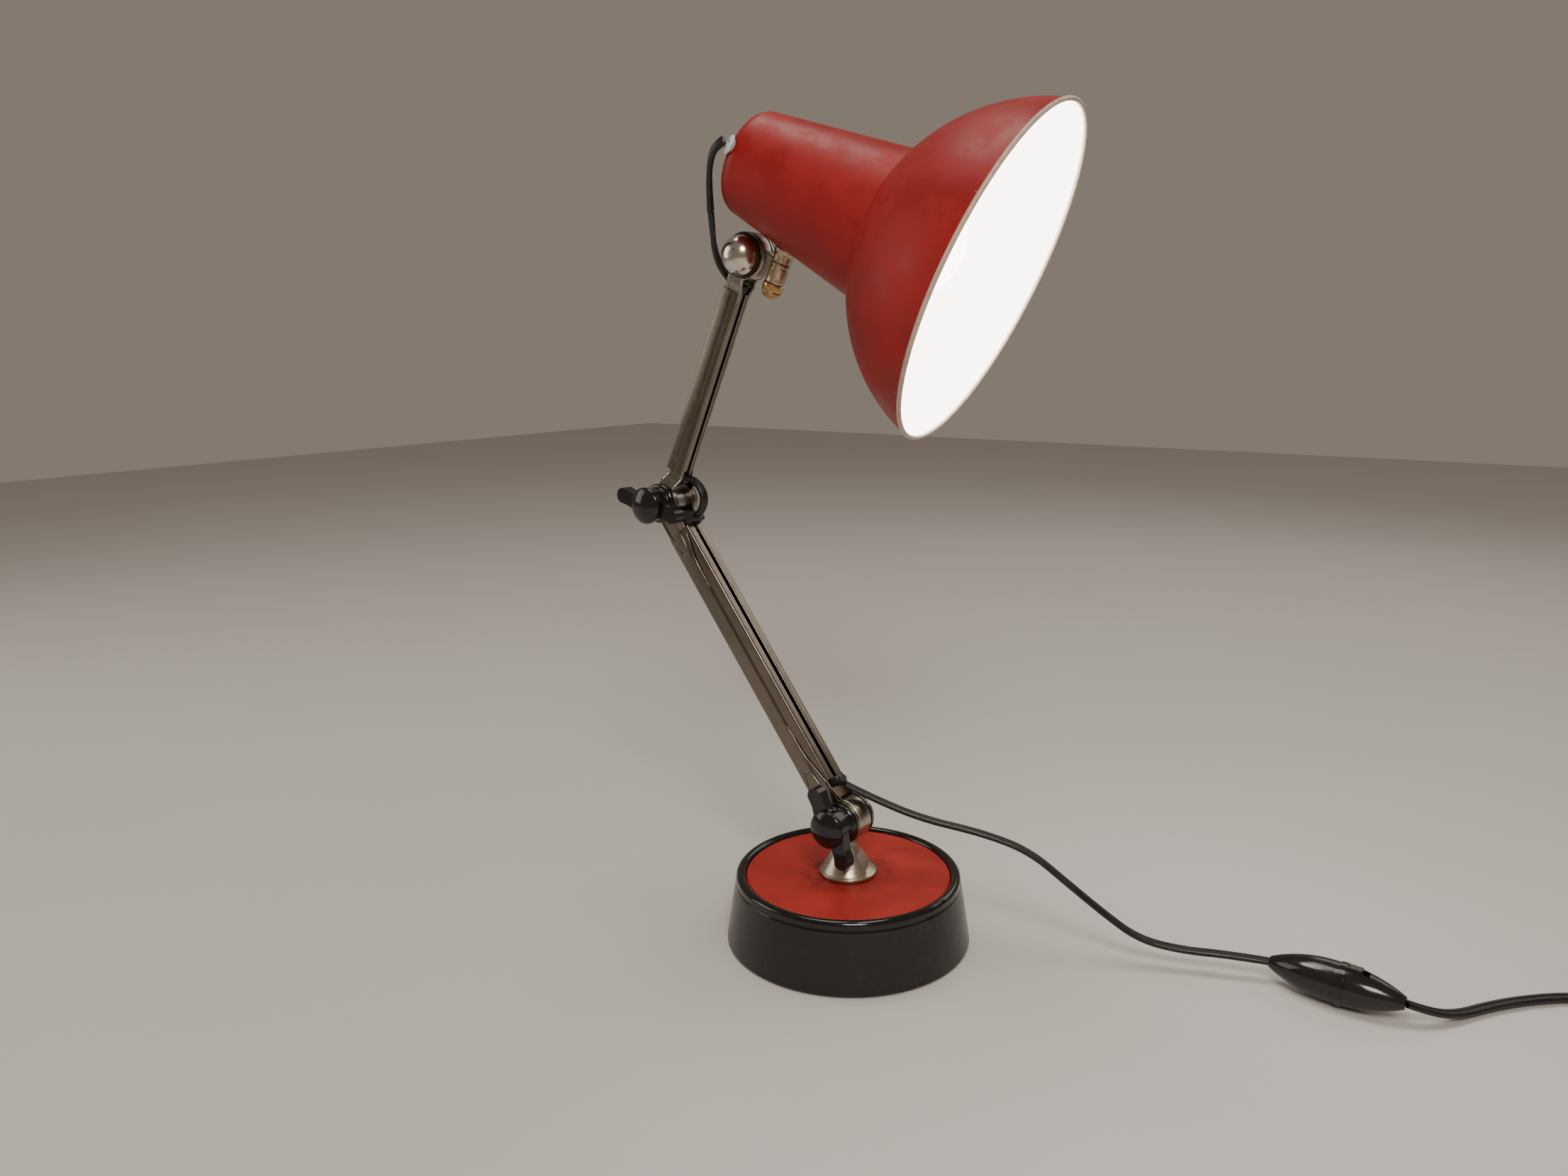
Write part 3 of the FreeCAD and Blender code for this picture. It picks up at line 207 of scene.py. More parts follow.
# ---------------------------------------------------------------- meshes
class Blank:
    """A mesh being worked in a local frame, then placed in the lamp."""

    def __init__(self) -> None:
        """Start with nothing on the bench."""
        self.bm = bmesh.new()

    def face(self, corners: Sequence[bmesh.types.BMVert], finish: int = 0) -> None:
        """Add one face, unless its corners have run together or it exists."""
        unique = list(dict.fromkeys(corners))
        if len(unique) > 2 and self.bm.faces.get(unique) is None:
            made = self.bm.faces.new(unique)
            made.smooth = True
            made.material_index = finish

    def lathe(self, profile: Sequence[Point2], where: Matrix = Matrix(), segments: int = 96,
              finish: int = 0) -> "Blank":
        """Turn a profile about local Z.

        Args:
            profile: points (radius, height) in order.
            where: placement of the turned shape.
            segments: facets round the axis.
            finish: index of its material.

        Returns:
            This blank.
        """
        rings = []
        for radius, height in profile:
            if radius < 1e-7:
                rings.append([self.bm.verts.new(where @ Vector((0, 0, height)))])
                continue
            turns = [math.tau * step / segments for step in range(segments)]
            spots = [Vector((radius * math.cos(t), radius * math.sin(t), height)) for t in turns]
            rings.append([self.bm.verts.new(where @ spot) for spot in spots])
        for low, high in zip(rings, rings[1:]):
            for step in range(segments):
                after = step + 1
                corners = (low[step % len(low)], low[after % len(low)],
                           high[after % len(high)], high[step % len(high)])
                self.face(corners, finish)
        return self

    def prism(self, outline: Sequence[Point2], low: float, high: float, where: Matrix = Matrix(),
              edge: float = 0.0, finish: int = 0) -> "Blank":
        """Raise an outline in local XZ along local Y, with rounded rims.

        Args:
            outline: points (x, z) in order.
            low: the first face's y.
            high: the other face's y.
            where: placement of the shape.
            edge: rounding of both rims.
            finish: index of its material.

        Returns:
            This blank.
        """
        near = [self.bm.verts.new(where @ Vector((x, low, z))) for x, z in outline]
        far = [self.bm.verts.new(where @ Vector((x, high, z))) for x, z in outline]
        count = len(outline)
        walls = []
        for step in range(count):
            after = (step + 1) % count
            walls.append(self.bm.faces.new((near[step], near[after], far[after], far[step])))
        caps = [self.bm.faces.new(near[::-1]), self.bm.faces.new(far)]
        for made in walls + caps:
            made.smooth = True
            made.material_index = finish
        if edge > 0:
            rims = list({e for cap in caps for e in cap.edges})
            bmesh.ops.bevel(self.bm, geom=rims, offset=edge, segments=3, profile=0.5,
                            affect="EDGES", clamp_overlap=True, material=-1)
        return self

    def sweep(self, path: Sequence[Vector], section: Sequence[Point2], where: Matrix = Matrix(),
              twist: Optional[Callable[[float], float]] = None, up: Vector = Vector((0, 0, 1)),
              size: Optional[Callable[[float], float]] = None, closed: bool = False,
              finish: int = 0) -> "Blank":
        """Carry a section along a path without letting it roll.

        Args:
            path: the points it follows.
            section: the section's points (side, up).
            where: placement of the shape.
            twist: extra turn in radians at each share of the length.
            up: which way the section's up starts.
            size: scale of the section at each share of the length.
            closed: whether the path joins its own start.
            finish: index of its material.

        Returns:
            This blank.
        """
        spots = [Vector(p) for p in path]
        count = len(spots)
        lengths = [0.0]
        for a, b in zip(spots, spots[1:]):
            lengths.append(lengths[-1] + (b - a).length)
        rings = []
        normal = up.copy()
        for index, spot in enumerate(spots):
            before = spots[index - 1] if index or closed else spot
            after = spots[(index + 1) % count] if index < count - 1 or closed else spot
            tangent = (after - before).normalized()
            normal = (normal - tangent * normal.dot(tangent)).normalized()
            share = lengths[index] / max(lengths[-1], 1e-9)
            roll = Quaternion(tangent, twist(share) if twist else 0.0)
            lift = roll @ normal
            side = lift.cross(tangent)
            scale = size(share) if size else 1.0
            ring = [spot + (side * a + lift * b) * scale for a, b in section]
            rings.append([self.bm.verts.new(where @ p) for p in ring])
        pairs = list(zip(rings, rings[1:]))
        if closed:
            pairs.append((rings[-1], rings[0]))
        size_of = len(section)
        for low, high in pairs:
            for step in range(size_of):
                after = (step + 1) % size_of
                self.face((low[step], low[after], high[after], high[step]), finish)
        if not closed:
            self.face(rings[0][::-1], finish)
            self.face(rings[-1], finish)
        return self

    def move(self, change: Callable[[Vector], Vector]) -> "Blank":
        """Move every vertex as change says."""
        for vertex in self.bm.verts:
            vertex.co = change(vertex.co)
        return self

    def mesh(self, name: str, sharp: float = 40.0) -> bpy.types.Mesh:
        """Turn the blank into a closed-up mesh with sharp edges marked.

        Args:
            name: the mesh's name.
            sharp: angle in degrees past which an edge stays crisp.

        Returns:
            The new mesh.
        """
        bmesh.ops.remove_doubles(self.bm, verts=self.bm.verts, dist=1e-6)
        bmesh.ops.recalc_face_normals(self.bm, faces=self.bm.faces)
        data = bpy.data.meshes.new(name)
        self.bm.to_mesh(data)
        self.bm.free()
        data.set_sharp_from_angle(angle=math.radians(sharp))
        return data


def place(blank: Blank, name: str, finishes: Sequence["Finish"], body: str, at: Matrix = Matrix(),
          stands_for: Sequence[str] = (), sharp: float = 40.0) -> bpy.types.Object:
    """Put a finished blank on the lamp.

    Args:
        blank: the worked mesh, in its local frame.
        name: the piece's name.
        finishes: its materials, in the order of its finish indices.
        body: the CAD body it rides on, or nothing to leave it unparented.
        at: the placement of its local frame.
        stands_for: CAD nodes it replaces.
        sharp: angle past which its edges stay crisp.

    Returns:
        The new object.
    """
    piece = bpy.data.objects.new(name, blank.mesh(name, sharp))
    bpy.context.scene.collection.objects.link(piece)
    piece.matrix_world = at
    for finish in finishes:
        piece.data.materials.append(finish.material())
    if body:
        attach(piece, body)
    if stands_for:
        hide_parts(*stands_for)
    LOG.info("%s: %d faces on %s", name, len(piece.data.polygons), body or "a joint")
    return piece


# ---------------------------------------------------------------- finishes
class Recipe:
    """Node graph of one material, worked round its Principled shader."""

    def __init__(self, name: str) -> None:
        """Open a new material.

        Args:
            name: the material's name.
        """
        self.material = bpy.data.materials.new(name)
        self.material.use_nodes = True
        self.nodes = self.material.node_tree.nodes
        self.links = self.material.node_tree.links
        self.shader = self.nodes["Principled BSDF"]
        self.where = self.nodes.new("ShaderNodeTexCoord").outputs["Object"]
        self.normal: Optional[bpy.types.NodeSocket] = None

    def fixed(self, **values: float) -> None:
        """Set the shader's own sockets, their spaces written as underscores."""
        for key, value in values.items():
            self.shader.inputs[key.replace("_", " ")].default_value = value

    def stretched(self, stretch: Sequence[float]) -> bpy.types.NodeSocket:
        """Return object coordinates scaled along each axis."""
        mapping = self.nodes.new("ShaderNodeMapping")
        mapping.inputs["Scale"].default_value = stretch
        self.links.new(self.where, mapping.inputs["Vector"])
        return mapping.outputs["Vector"]

    def noise(self, scale: float, detail: float = 4.0, rough: float = 0.6,
              stretch: Sequence[float] = (1, 1, 1), warp: float = 0.0) -> bpy.types.NodeSocket:
        """Return fractal noise.

        Args:
            scale: cycles per metre.
            detail: octaves.
            rough: weight of the finer octaves.
            stretch: scale of each axis.
            warp: distortion.

        Returns:
            The noise's value socket.
        """
        node = self.nodes.new("ShaderNodeTexNoise")
        node.inputs["Scale"].default_value = scale
        node.inputs["Detail"].default_value = detail
        node.inputs["Roughness"].default_value = rough
        node.inputs["Distortion"].default_value = warp
        self.links.new(self.stretched(stretch), node.inputs["Vector"])
        return node.outputs["Fac"]

    def specks(self, scale: float, size: float, stretch: Sequence[float] = (1, 1, 1)) -> bpy.types.NodeSocket:
        """Return a mask of small scattered spots.

        Args:
            scale: cells per metre.
            size: spot radius as a share of a cell.
            stretch: scale of each axis.

        Returns:
            A mask that is 1 in a spot.
        """
        node = self.nodes.new("ShaderNodeTexVoronoi")
        node.inputs["Scale"].default_value = scale
        self.links.new(self.stretched(stretch), node.inputs["Vector"])
        return self.level(node.outputs["Distance"], size, size * 0.4, 0.0, 1.0)

    def level(self, value: bpy.types.NodeSocket, low: float, high: float, to_low: float,
              to_high: float) -> bpy.types.NodeSocket:
        """Map a value smoothly from one range to another."""
        node = self.nodes.new("ShaderNodeMapRange")
        node.interpolation_type = "SMOOTHSTEP"
        settings = {"From Min": low, "From Max": high, "To Min": to_low, "To Max": to_high}
        if low > high:
            settings = {"From Min": high, "From Max": low, "To Min": to_high, "To Max": to_low}
        for key, setting in settings.items():
            node.inputs[key].default_value = setting
        self.links.new(value, node.inputs["Value"])
        return node.outputs["Result"]

    def combine(self, operation: str, first: bpy.types.NodeSocket,
                second: "bpy.types.NodeSocket | float") -> bpy.types.NodeSocket:
        """Join two values with a maths operation."""
        node = self.nodes.new("ShaderNodeMath")
        node.operation = operation
        self.links.new(first, node.inputs[0])
        if isinstance(second, bpy.types.NodeSocket):
            self.links.new(second, node.inputs[1])
        else:
            node.inputs[1].default_value = second
        return node.outputs["Value"]

    def attribute(self, name: str) -> bpy.types.NodeSocket:
        """Return a value stored on the mesh's points."""
        node = self.nodes.new("ShaderNodeAttribute")
        node.attribute_name = name
        return node.outputs["Fac"]

    def height(self) -> bpy.types.NodeSocket:
        """Return the local Z coordinate."""
        node = self.nodes.new("ShaderNodeSeparateXYZ")
        self.links.new(self.where, node.inputs["Vector"])
        return node.outputs["Z"]

    def radius(self) -> bpy.types.NodeSocket:
        """Return the distance from the local Z axis."""
        flat = self.stretched((1, 1, 0))
        node = self.nodes.new("ShaderNodeVectorMath")
        node.operation = "LENGTH"
        self.links.new(flat, node.inputs[0])
        return node.outputs["Value"]

    def mixed(self, mask: bpy.types.NodeSocket, first: "bpy.types.NodeSocket | Colour",
              second: "bpy.types.NodeSocket | Colour") -> bpy.types.NodeSocket:
        """Return first where the mask is 0 and second where it is 1."""
        node = self.nodes.new("ShaderNodeMix")
        node.data_type = "RGBA"
        self.links.new(mask, node.inputs["Factor"])
        colours = [socket for socket in node.inputs if socket.type == "RGBA"]
        for socket, value in zip(colours, (first, second)):
            if isinstance(value, bpy.types.NodeSocket):
                self.links.new(value, socket)
            else:
                socket.default_value = (*value, 1.0)
        return next(socket for socket in node.outputs if socket.type == "RGBA")

    def drive(self, name: str, value: bpy.types.NodeSocket) -> None:
        """Let a texture set one of the shader's sockets."""
        self.links.new(value, self.shader.inputs[name])

    def relief(self, value: bpy.types.NodeSocket, depth: float, strength: float = 1.0) -> None:
        """Add fine relief, on top of any there is.

        Args:
            value: the height, 0 to 1.
            depth: its full height in metres.
            strength: how much of it shows.
        """
        node = self.nodes.new("ShaderNodeBump")
        node.inputs["Strength"].default_value = strength
        node.inputs["Distance"].default_value = depth
        self.links.new(value, node.inputs["Height"])
        if self.normal is not None:
            self.links.new(self.normal, node.inputs["Normal"])
        self.normal = node.outputs["Normal"]
        self.links.new(self.normal, self.shader.inputs["Normal"])


_MADE: Dict[str, bpy.types.Material] = {}


@dataclass(frozen=True)
class Finish:
    """A surface finish; each kind says how its material is mixed."""

    name: str
    slot: str
    colour: Colour

    def mix(self, recipe: Recipe) -> None:
        """Work the recipe's nodes."""
        raise NotImplementedError

    def material(self) -> bpy.types.Material:
        """Return the finish's one material."""
        if self.name not in _MADE:
            recipe = Recipe(self.name)
            self.mix(recipe)
            _MADE[self.name] = recipe.material
        return _MADE[self.name]

    def shade(self, factor: float) -> Colour:
        """Return the colour made lighter or darker."""
        return tuple(min(1.0, part * factor) for part in self.colour)


@dataclass(frozen=True)
class Enamel(Finish):
    """Matt sprayed enamel with faint mottling, dust specks and chips where the mesh is marked as worn."""

    chip: Colour = (0.70, 0.58, 0.44)
    grime: Colour = (0.10, 0.012, 0.008)
    grime_ring: Tuple[float, float] = (0.0, 0.0)
    rough: float = 0.46

    def mix(self, recipe: Recipe) -> None:
        """Mottled paint, pale specks, chips along worn edges and grime round a fitting."""
        mottle = recipe.level(recipe.noise(38, 6, 0.65), 0.34, 0.68, 0.0, 1.0)
        colour = recipe.mixed(mottle, self.shade(0.88), self.shade(1.1))
        cloud = recipe.level(recipe.noise(9, 3, 0.5, warp=0.6), 0.35, 0.7, 0.0, 1.0)
        colour = recipe.mixed(cloud, colour, recipe.mixed(mottle, self.shade(0.80), self.shade(0.96)))
        dust = recipe.specks(620, 0.10)
        thin = recipe.level(recipe.noise(24, 4, 0.7), 0.56, 0.62, 0.0, 0.42)
        colour = recipe.mixed(recipe.combine("MULTIPLY", dust, thin), colour, (0.62, 0.30, 0.24))
        if self.grime_ring[1] > 0:
            near = recipe.level(recipe.radius(), self.grime_ring[0], self.grime_ring[1], 1.0, 0.0)
            soil = recipe.level(recipe.noise(95, 6, 0.75, warp=1.2), 0.38, 0.70, 0.0, 1.0)
            colour = recipe.mixed(recipe.combine("MULTIPLY", near, soil), colour, self.grime)
        worn = recipe.attribute("wear")
        chips = recipe.noise(420, 3, 0.7, warp=0.8)
        chipped = recipe.level(recipe.combine("ADD", chips, worn), 1.12, 1.17, 0.0, 1.0)
        colour = recipe.mixed(chipped, colour, self.chip)
        scratch = recipe.noise(60, 5, 0.8, stretch=(1, 9, 9), warp=0.5)
        scratched = recipe.level(recipe.combine("ADD", scratch, recipe.attribute("scuff")), 1.25, 1.31, 0.0,
                                 0.6)
        colour = recipe.mixed(scratched, colour, self.shade(1.7))
        recipe.drive("Base Color", colour)
        recipe.drive("Roughness", recipe.level(mottle, 0.0, 1.0, self.rough - 0.05, self.rough + 0.10))
        recipe.fixed(IOR=1.48, Specular_IOR_Level=0.38)
        recipe.relief(recipe.noise(1500, 3, 0.6), 0.00005, 0.55)
        recipe.relief(chipped, 0.00012, -0.8)


@dataclass(frozen=True)
class WhiteEnamelPaintedGlow(Finish):
    """White inner paint of the shade, with a painted glow: emission standing in for the bulb's light falling
    on it.
    """

    # Strength of the painted glow that stands in for the bulb's light on the paint.
    glow: float = 4.5

    def mix(self, recipe: Recipe) -> None:
        """White paint with a painted glow for the bulb's light on it, its tint varied by noise."""
        faint = recipe.level(recipe.noise(30, 4, 0.6), 0.3, 0.7, 0.0, 1.0)
        recipe.drive("Base Color", recipe.mixed(faint, self.shade(0.97), self.colour))
        # Painted light: this emission lights the inside of the shade in place of the bulb's light falling on
        # it.
        recipe.drive("Emission Color", recipe.mixed(faint, (1.0, 0.955, 0.89), (1.0, 0.97, 0.92)))
        recipe.fixed(Roughness=0.5, Emission_Strength=self.glow)
        recipe.relief(recipe.noise(1300, 3, 0.6), 0.00004, 0.5)


@dataclass(frozen=True)
class MouldedPlastic(Finish):
    """Black moulding: glossy or satin, with dust, faint scratches and a soft orange peel."""

    rough: float = 0.18
    satin_below: float = 0.0
    dust: float = 0.35

    def mix(self, recipe: Recipe) -> None:
        """Dark plastic whose gloss changes with wear and, if asked, with height."""
        haze = recipe.level(recipe.noise(55, 6, 0.7, warp=0.4), 0.36, 0.72, 0.0, 1.0)
        colour = recipe.mixed(haze, self.colour, self.shade(1.7))
        motes = recipe.combine("MULTIPLY", recipe.specks(900, 0.13),
                               recipe.level(recipe.noise(40, 3, 0.6), 0.48, 0.62, 0.0, self.dust))
        colour = recipe.mixed(motes, colour, (0.34, 0.31, 0.28))
        recipe.drive("Base Color", colour)
        rough = recipe.level(haze, 0.0, 1.0, self.rough * 0.8, self.rough * 1.5)
        if self.satin_below > 0:
            lower = recipe.level(recipe.height(), self.satin_below, self.satin_below - 0.003, 0.0, 0.16)
            rough = recipe.combine("ADD", rough, lower)
        scuffs = recipe.level(recipe.noise(90, 6, 0.85, stretch=(1, 1, 7), warp=0.9), 0.60, 0.66, 0.0, 0.16)
        recipe.drive("Roughness", recipe.combine("ADD", rough, scuffs))
        recipe.fixed(IOR=1.52, Specular_IOR_Level=0.5)
        recipe.relief(recipe.noise(700, 2, 0.5), 0.00003, 0.35)
        recipe.relief(recipe.noise(120, 2, 0.5), 0.00012, 0.12)


@dataclass(frozen=True)
class PlatedSteel(Finish):
    """Nickel-plated pressed steel: long draw marks, dull patches, rust specks and stained patches."""

    rough: float = 0.22
    rust: float = 0.5
    stain: Colour = (0.34, 0.25, 0.19)
    grain: Tuple[float, float, float] = (9.0, 9.0, 0.5)

    def mix(self, recipe: Recipe) -> None:
        """Plated metal with draw marks along its grain."""
        draw = recipe.noise(520, 4, 0.6, stretch=self.grain)
        patch = recipe.level(recipe.noise(30, 6, 0.7, stretch=(1, 1, 0.45), warp=0.7), 0.38, 0.70, 0.0, 1.0)
        colour = recipe.mixed(patch, self.shade(1.06), self.shade(0.74))
        tarnish = recipe.level(recipe.noise(75, 6, 0.75, warp=1.0), 0.50, 0.74, 0.0, 0.75)
        colour = recipe.mixed(recipe.combine("MULTIPLY", tarnish, patch), colour, self.stain)
        fleck = recipe.specks(420, 0.17)
        where = recipe.level(recipe.noise(34, 5, 0.7, warp=0.5), 0.50, 0.60, 0.0, self.rust)
        pits = recipe.combine("MULTIPLY", fleck, where)
        colour = recipe.mixed(pits, colour, (0.085, 0.030, 0.014))
        recipe.drive("Base Color", colour)
        rough = recipe.level(draw, 0.3, 0.7, self.rough * 0.75, self.rough * 1.25)
        rough = recipe.combine("ADD", rough, recipe.level(tarnish, 0.0, 1.0, 0.0, 0.20))
        recipe.drive("Roughness", recipe.combine("ADD", rough, recipe.level(pits, 0.0, 1.0, 0.0, 0.35)))
        recipe.drive("Metallic", recipe.level(pits, 0.0, 0.6, 1.0, 0.25))
        recipe.relief(draw, 0.00002, 0.30)
        recipe.relief(pits, 0.00006, -0.6)
        recipe.relief(recipe.noise(70, 2, 0.5), 0.00015, 0.10)


@dataclass(frozen=True)
class PolishedDome(Finish):
    """Chromed cap: near-mirror, with swirl marks, a yellowed bloom and a few bruises."""

    def mix(self, recipe: Recipe) -> None:
        """Chrome with fine swirls."""
        swirl = recipe.noise(900, 5, 0.7, stretch=(1, 5, 1), warp=1.5)
        bloom = recipe.level(recipe.noise(65, 5, 0.7, warp=0.8), 0.42, 0.70, 0.0, 0.8)
        colour = recipe.mixed(bloom, self.colour, (0.50, 0.44, 0.34))
        bruise = recipe.combine("MULTIPLY", recipe.specks(260, 0.2),
                                recipe.level(recipe.noise(90, 3, 0.6), 0.5, 0.6, 0.0, 0.9))
        recipe.drive("Base Color", recipe.mixed(bruise, colour, (0.12, 0.07, 0.04)))
        rough = recipe.level(swirl, 0.3, 0.7, 0.10, 0.24)
        recipe.drive("Roughness", recipe.combine("ADD", rough, recipe.level(bloom, 0.0, 1.0, 0.0, 0.14)))
        recipe.fixed(Metallic=1.0)
        recipe.relief(bruise, 0.00008, -0.7)
        recipe.relief(swirl, 0.00001, 0.25)


@dataclass(frozen=True)
class WornBrass(Finish):
    """Brass or thinly plated metal rubbed through to brown in blotches."""

    under: Colour = (0.24, 0.12, 0.055)
    rough: float = 0.30

    def mix(self, recipe: Recipe) -> None:
        """Blotched metal with pitting."""
        blotch = recipe.level(recipe.noise(150, 6, 0.75, warp=1.0), 0.44, 0.62, 0.0, 1.0)
        colour = recipe.mixed(blotch, self.colour, self.under)
        streak = recipe.level(recipe.noise(240, 5, 0.7, stretch=(3, 3, 0.7)), 0.42, 0.66, 0.0, 0.6)
        colour = recipe.mixed(streak, colour, self.shade(1.35))
        pits = recipe.combine("MULTIPLY", recipe.specks(700, 0.2), blotch)
        recipe.drive("Base Color", recipe.mixed(pits, colour, (0.05, 0.022, 0.01)))
        recipe.drive("Roughness", recipe.level(blotch, 0.0, 1.0, self.rough, self.rough + 0.25))
        recipe.drive("Metallic", recipe.level(pits, 0.0, 1.0, 1.0, 0.5))
        recipe.relief(blotch, 0.00003, -0.4)
        recipe.relief(pits, 0.00005, -0.5)


@dataclass(frozen=True)
class RustedSteel(Finish):
    """Bare steel gone brown, brighter where it has rubbed."""

    bright: Colour = (0.46, 0.42, 0.38)

    def mix(self, recipe: Recipe) -> None:
        """Brown film over steel."""
        film = recipe.level(recipe.noise(120, 7, 0.8, warp=0.7), 0.34, 0.60, 0.0, 1.0)
        grit = recipe.noise(1400, 4, 0.7)
        colour = recipe.mixed(grit, self.shade(0.7), self.shade(1.3))
        recipe.drive("Base Color", recipe.mixed(film, self.bright, colour))
        recipe.drive("Roughness", recipe.level(film, 0.0, 1.0, 0.28, 0.62))
        recipe.drive("Metallic", recipe.level(film, 0.0, 1.0, 1.0, 0.55))
        recipe.relief(grit, 0.00004, 0.5)
        recipe.relief(film, 0.00005, 0.3)


@dataclass(frozen=True)
class Rubber(Finish):
    """Soft black rubber or flexible sheath with rubbed highlights and dust in its grain."""

    rough: float = 0.42
    grain: Tuple[float, float, float] = (1.0, 1.0, 1.0)

    def mix(self, recipe: Recipe) -> None:
        """Dark elastomer with a fine grain."""
        rub = recipe.level(recipe.noise(85, 6, 0.7, warp=0.5), 0.35, 0.70, 0.0, 1.0)
        grain = recipe.noise(1100, 3, 0.6, stretch=self.grain)
        recipe.drive("Base Color", recipe.mixed(rub, self.colour, self.shade(2.2)))
        rough = recipe.level(rub, 0.0, 1.0, self.rough * 0.8, self.rough * 1.3)
        recipe.drive("Roughness", recipe.combine("ADD", rough, recipe.level(grain, 0.3, 0.7, -0.04, 0.06)))
        recipe.fixed(IOR=1.5, Specular_IOR_Level=0.5)
        recipe.relief(grain, 0.00003, 0.4)
        recipe.relief(rub, 0.00010, 0.15)


@dataclass(frozen=True)
class Fibre(Finish):
    """Pressed fibre, felt or cast iron: rough, mottled and matt."""

    rough: float = 0.85
    grit: float = 900.0

    def mix(self, recipe: Recipe) -> None:
        """Matt mottled stock."""
        grit = recipe.noise(self.grit, 5, 0.75)
        tone = recipe.level(recipe.noise(110, 4, 0.6), 0.35, 0.65, 0.0, 1.0)
        recipe.drive("Base Color", recipe.mixed(tone, self.shade(0.75), self.shade(1.3)))
        recipe.drive("Roughness", recipe.level(grit, 0.3, 0.7, self.rough - 0.10, self.rough))
        recipe.fixed(Specular_IOR_Level=0.3)
        recipe.relief(grit, 0.00010, 0.6)


@dataclass(frozen=True)
class FrostedGlass(Finish):
    """Lit frosted envelope, its glow clouded by noise."""

    glow: float = 9.0

    def mix(self, recipe: Recipe) -> None:
        """Glowing diffusing glass."""
        cloud = recipe.level(recipe.noise(60, 3, 0.5), 0.3, 0.7, 0.0, 1.0)
        recipe.drive("Base Color", recipe.mixed(cloud, self.shade(0.97), self.colour))
        recipe.drive("Emission Color", recipe.mixed(cloud, (1.0, 0.93, 0.82), (1.0, 0.95, 0.86)))
        recipe.fixed(Roughness=0.35, IOR=1.5, Emission_Strength=self.glow)
        recipe.relief(recipe.noise(1500, 2, 0.5), 0.00002, 0.4)


@dataclass(frozen=True)
class Moulding(Finish):
    """Pale or coloured small moulding with a soft sheen and handling marks."""

    rough: float = 0.35

    def mix(self, recipe: Recipe) -> None:
        """Plain moulding."""
        soil = recipe.level(recipe.noise(210, 6, 0.75, warp=0.7), 0.42, 0.72, 0.0, 0.6)
        recipe.drive("Base Color", recipe.mixed(soil, self.colour, self.shade(0.55)))
        recipe.drive("Roughness", recipe.level(soil, 0.0, 1.0, self.rough, self.rough + 0.3))
        recipe.fixed(IOR=1.5, Specular_IOR_Level=0.45)
        recipe.relief(soil, 0.00004, -0.3)


class Stock:
    """The finishes the lamp is made in."""

    RED = Enamel("red_enamel", "red_paint", (0.30, 0.008, 0.008))
    DISC = Enamel("red_disc_enamel", "red_paint", (0.40, 0.026, 0.020), grime_ring=(0.017, 0.033), rough=0.42)
    # Inside of the shade: white paint with a painted glow for the bulb's light.
    WHITE_PAINTED_GLOW = WhiteEnamelPaintedGlow("white_inner_enamel_painted_glow", "red_paint", (0.86, 0.85, 0.82))
    RIM = Moulding("rim_lacquer", "red_paint", (0.56, 0.44, 0.36), rough=0.4)
    BASE = MouldedPlastic("base_moulding", "black_shell", (0.005, 0.0045, 0.0045), rough=0.10,
                          satin_below=0.0345)
    KNOB = MouldedPlastic("knob_moulding", "bakelite", (0.007, 0.007, 0.007), rough=0.11)
    SWITCH = MouldedPlastic("switch_moulding", "bakelite", (0.008, 0.008, 0.008), rough=0.14, dust=0.5)
    SLIDER = MouldedPlastic("slider_moulding", "bakelite", (0.02, 0.019, 0.018), rough=0.30, dust=0.6)
    NICKEL = PlatedSteel("arm_plating", "nickel", (0.19, 0.165, 0.135))
    SHEEN = PlatedSteel("strip_plating", "chrome", (0.30, 0.28, 0.245), rough=0.17, rust=0.25)
    CAST = PlatedSteel("cast_plating", "nickel", (0.40, 0.36, 0.30), rough=0.27, rust=0.35,
                       grain=(3.0, 3.0, 3.0))
    TURNED = PlatedSteel("turned_plating", "nickel", (0.44, 0.39, 0.31), rough=0.30, rust=0.4,
                         grain=(0.6, 0.6, 9.0))
    CHROME = PolishedDome("dome_chrome", "chrome", (0.66, 0.63, 0.58))
    BARREL = WornBrass("barrel_plating", "nickel", (0.46, 0.38, 0.27), under=(0.30, 0.20, 0.11))
    BRASS = WornBrass("cap_brass", "brass", (0.44, 0.28, 0.13))
    STEEL = PlatedSteel("plain_steel", "steel", (0.42, 0.41, 0.40), rough=0.32, rust=0.2)
    RUSTY = RustedSteel("browned_steel", "rusty_steel", (0.16, 0.085, 0.045))
    RUBBER = Rubber("bush_rubber", "rubber", (0.012, 0.011, 0.011), rough=0.34)
    FLEX = Rubber("flex_sheath", "cord", (0.006, 0.0055, 0.0055), rough=0.36)
    PLUG = Rubber("plug_rubber", "rubber", (0.012, 0.012, 0.012), rough=0.45)
    FIBRE = Fibre("fibre_washer", "fibre", (0.035, 0.016, 0.010), rough=0.6)
    FELT = Fibre("felt_pad", "felt", (0.03, 0.03, 0.032), rough=0.98, grit=2600.0)
    IRON = Fibre("cast_iron", "iron", (0.055, 0.052, 0.05), rough=0.75)
    GROMMET = Moulding("pale_grommet", "grommet", (0.66, 0.70, 0.74), rough=0.3)
    CERAMIC = Moulding("holder_moulding", "ceramic", (0.78, 0.77, 0.72), rough=0.2)
    GLASS = FrostedGlass("lit_glass", "glass", (0.95, 0.94, 0.90))


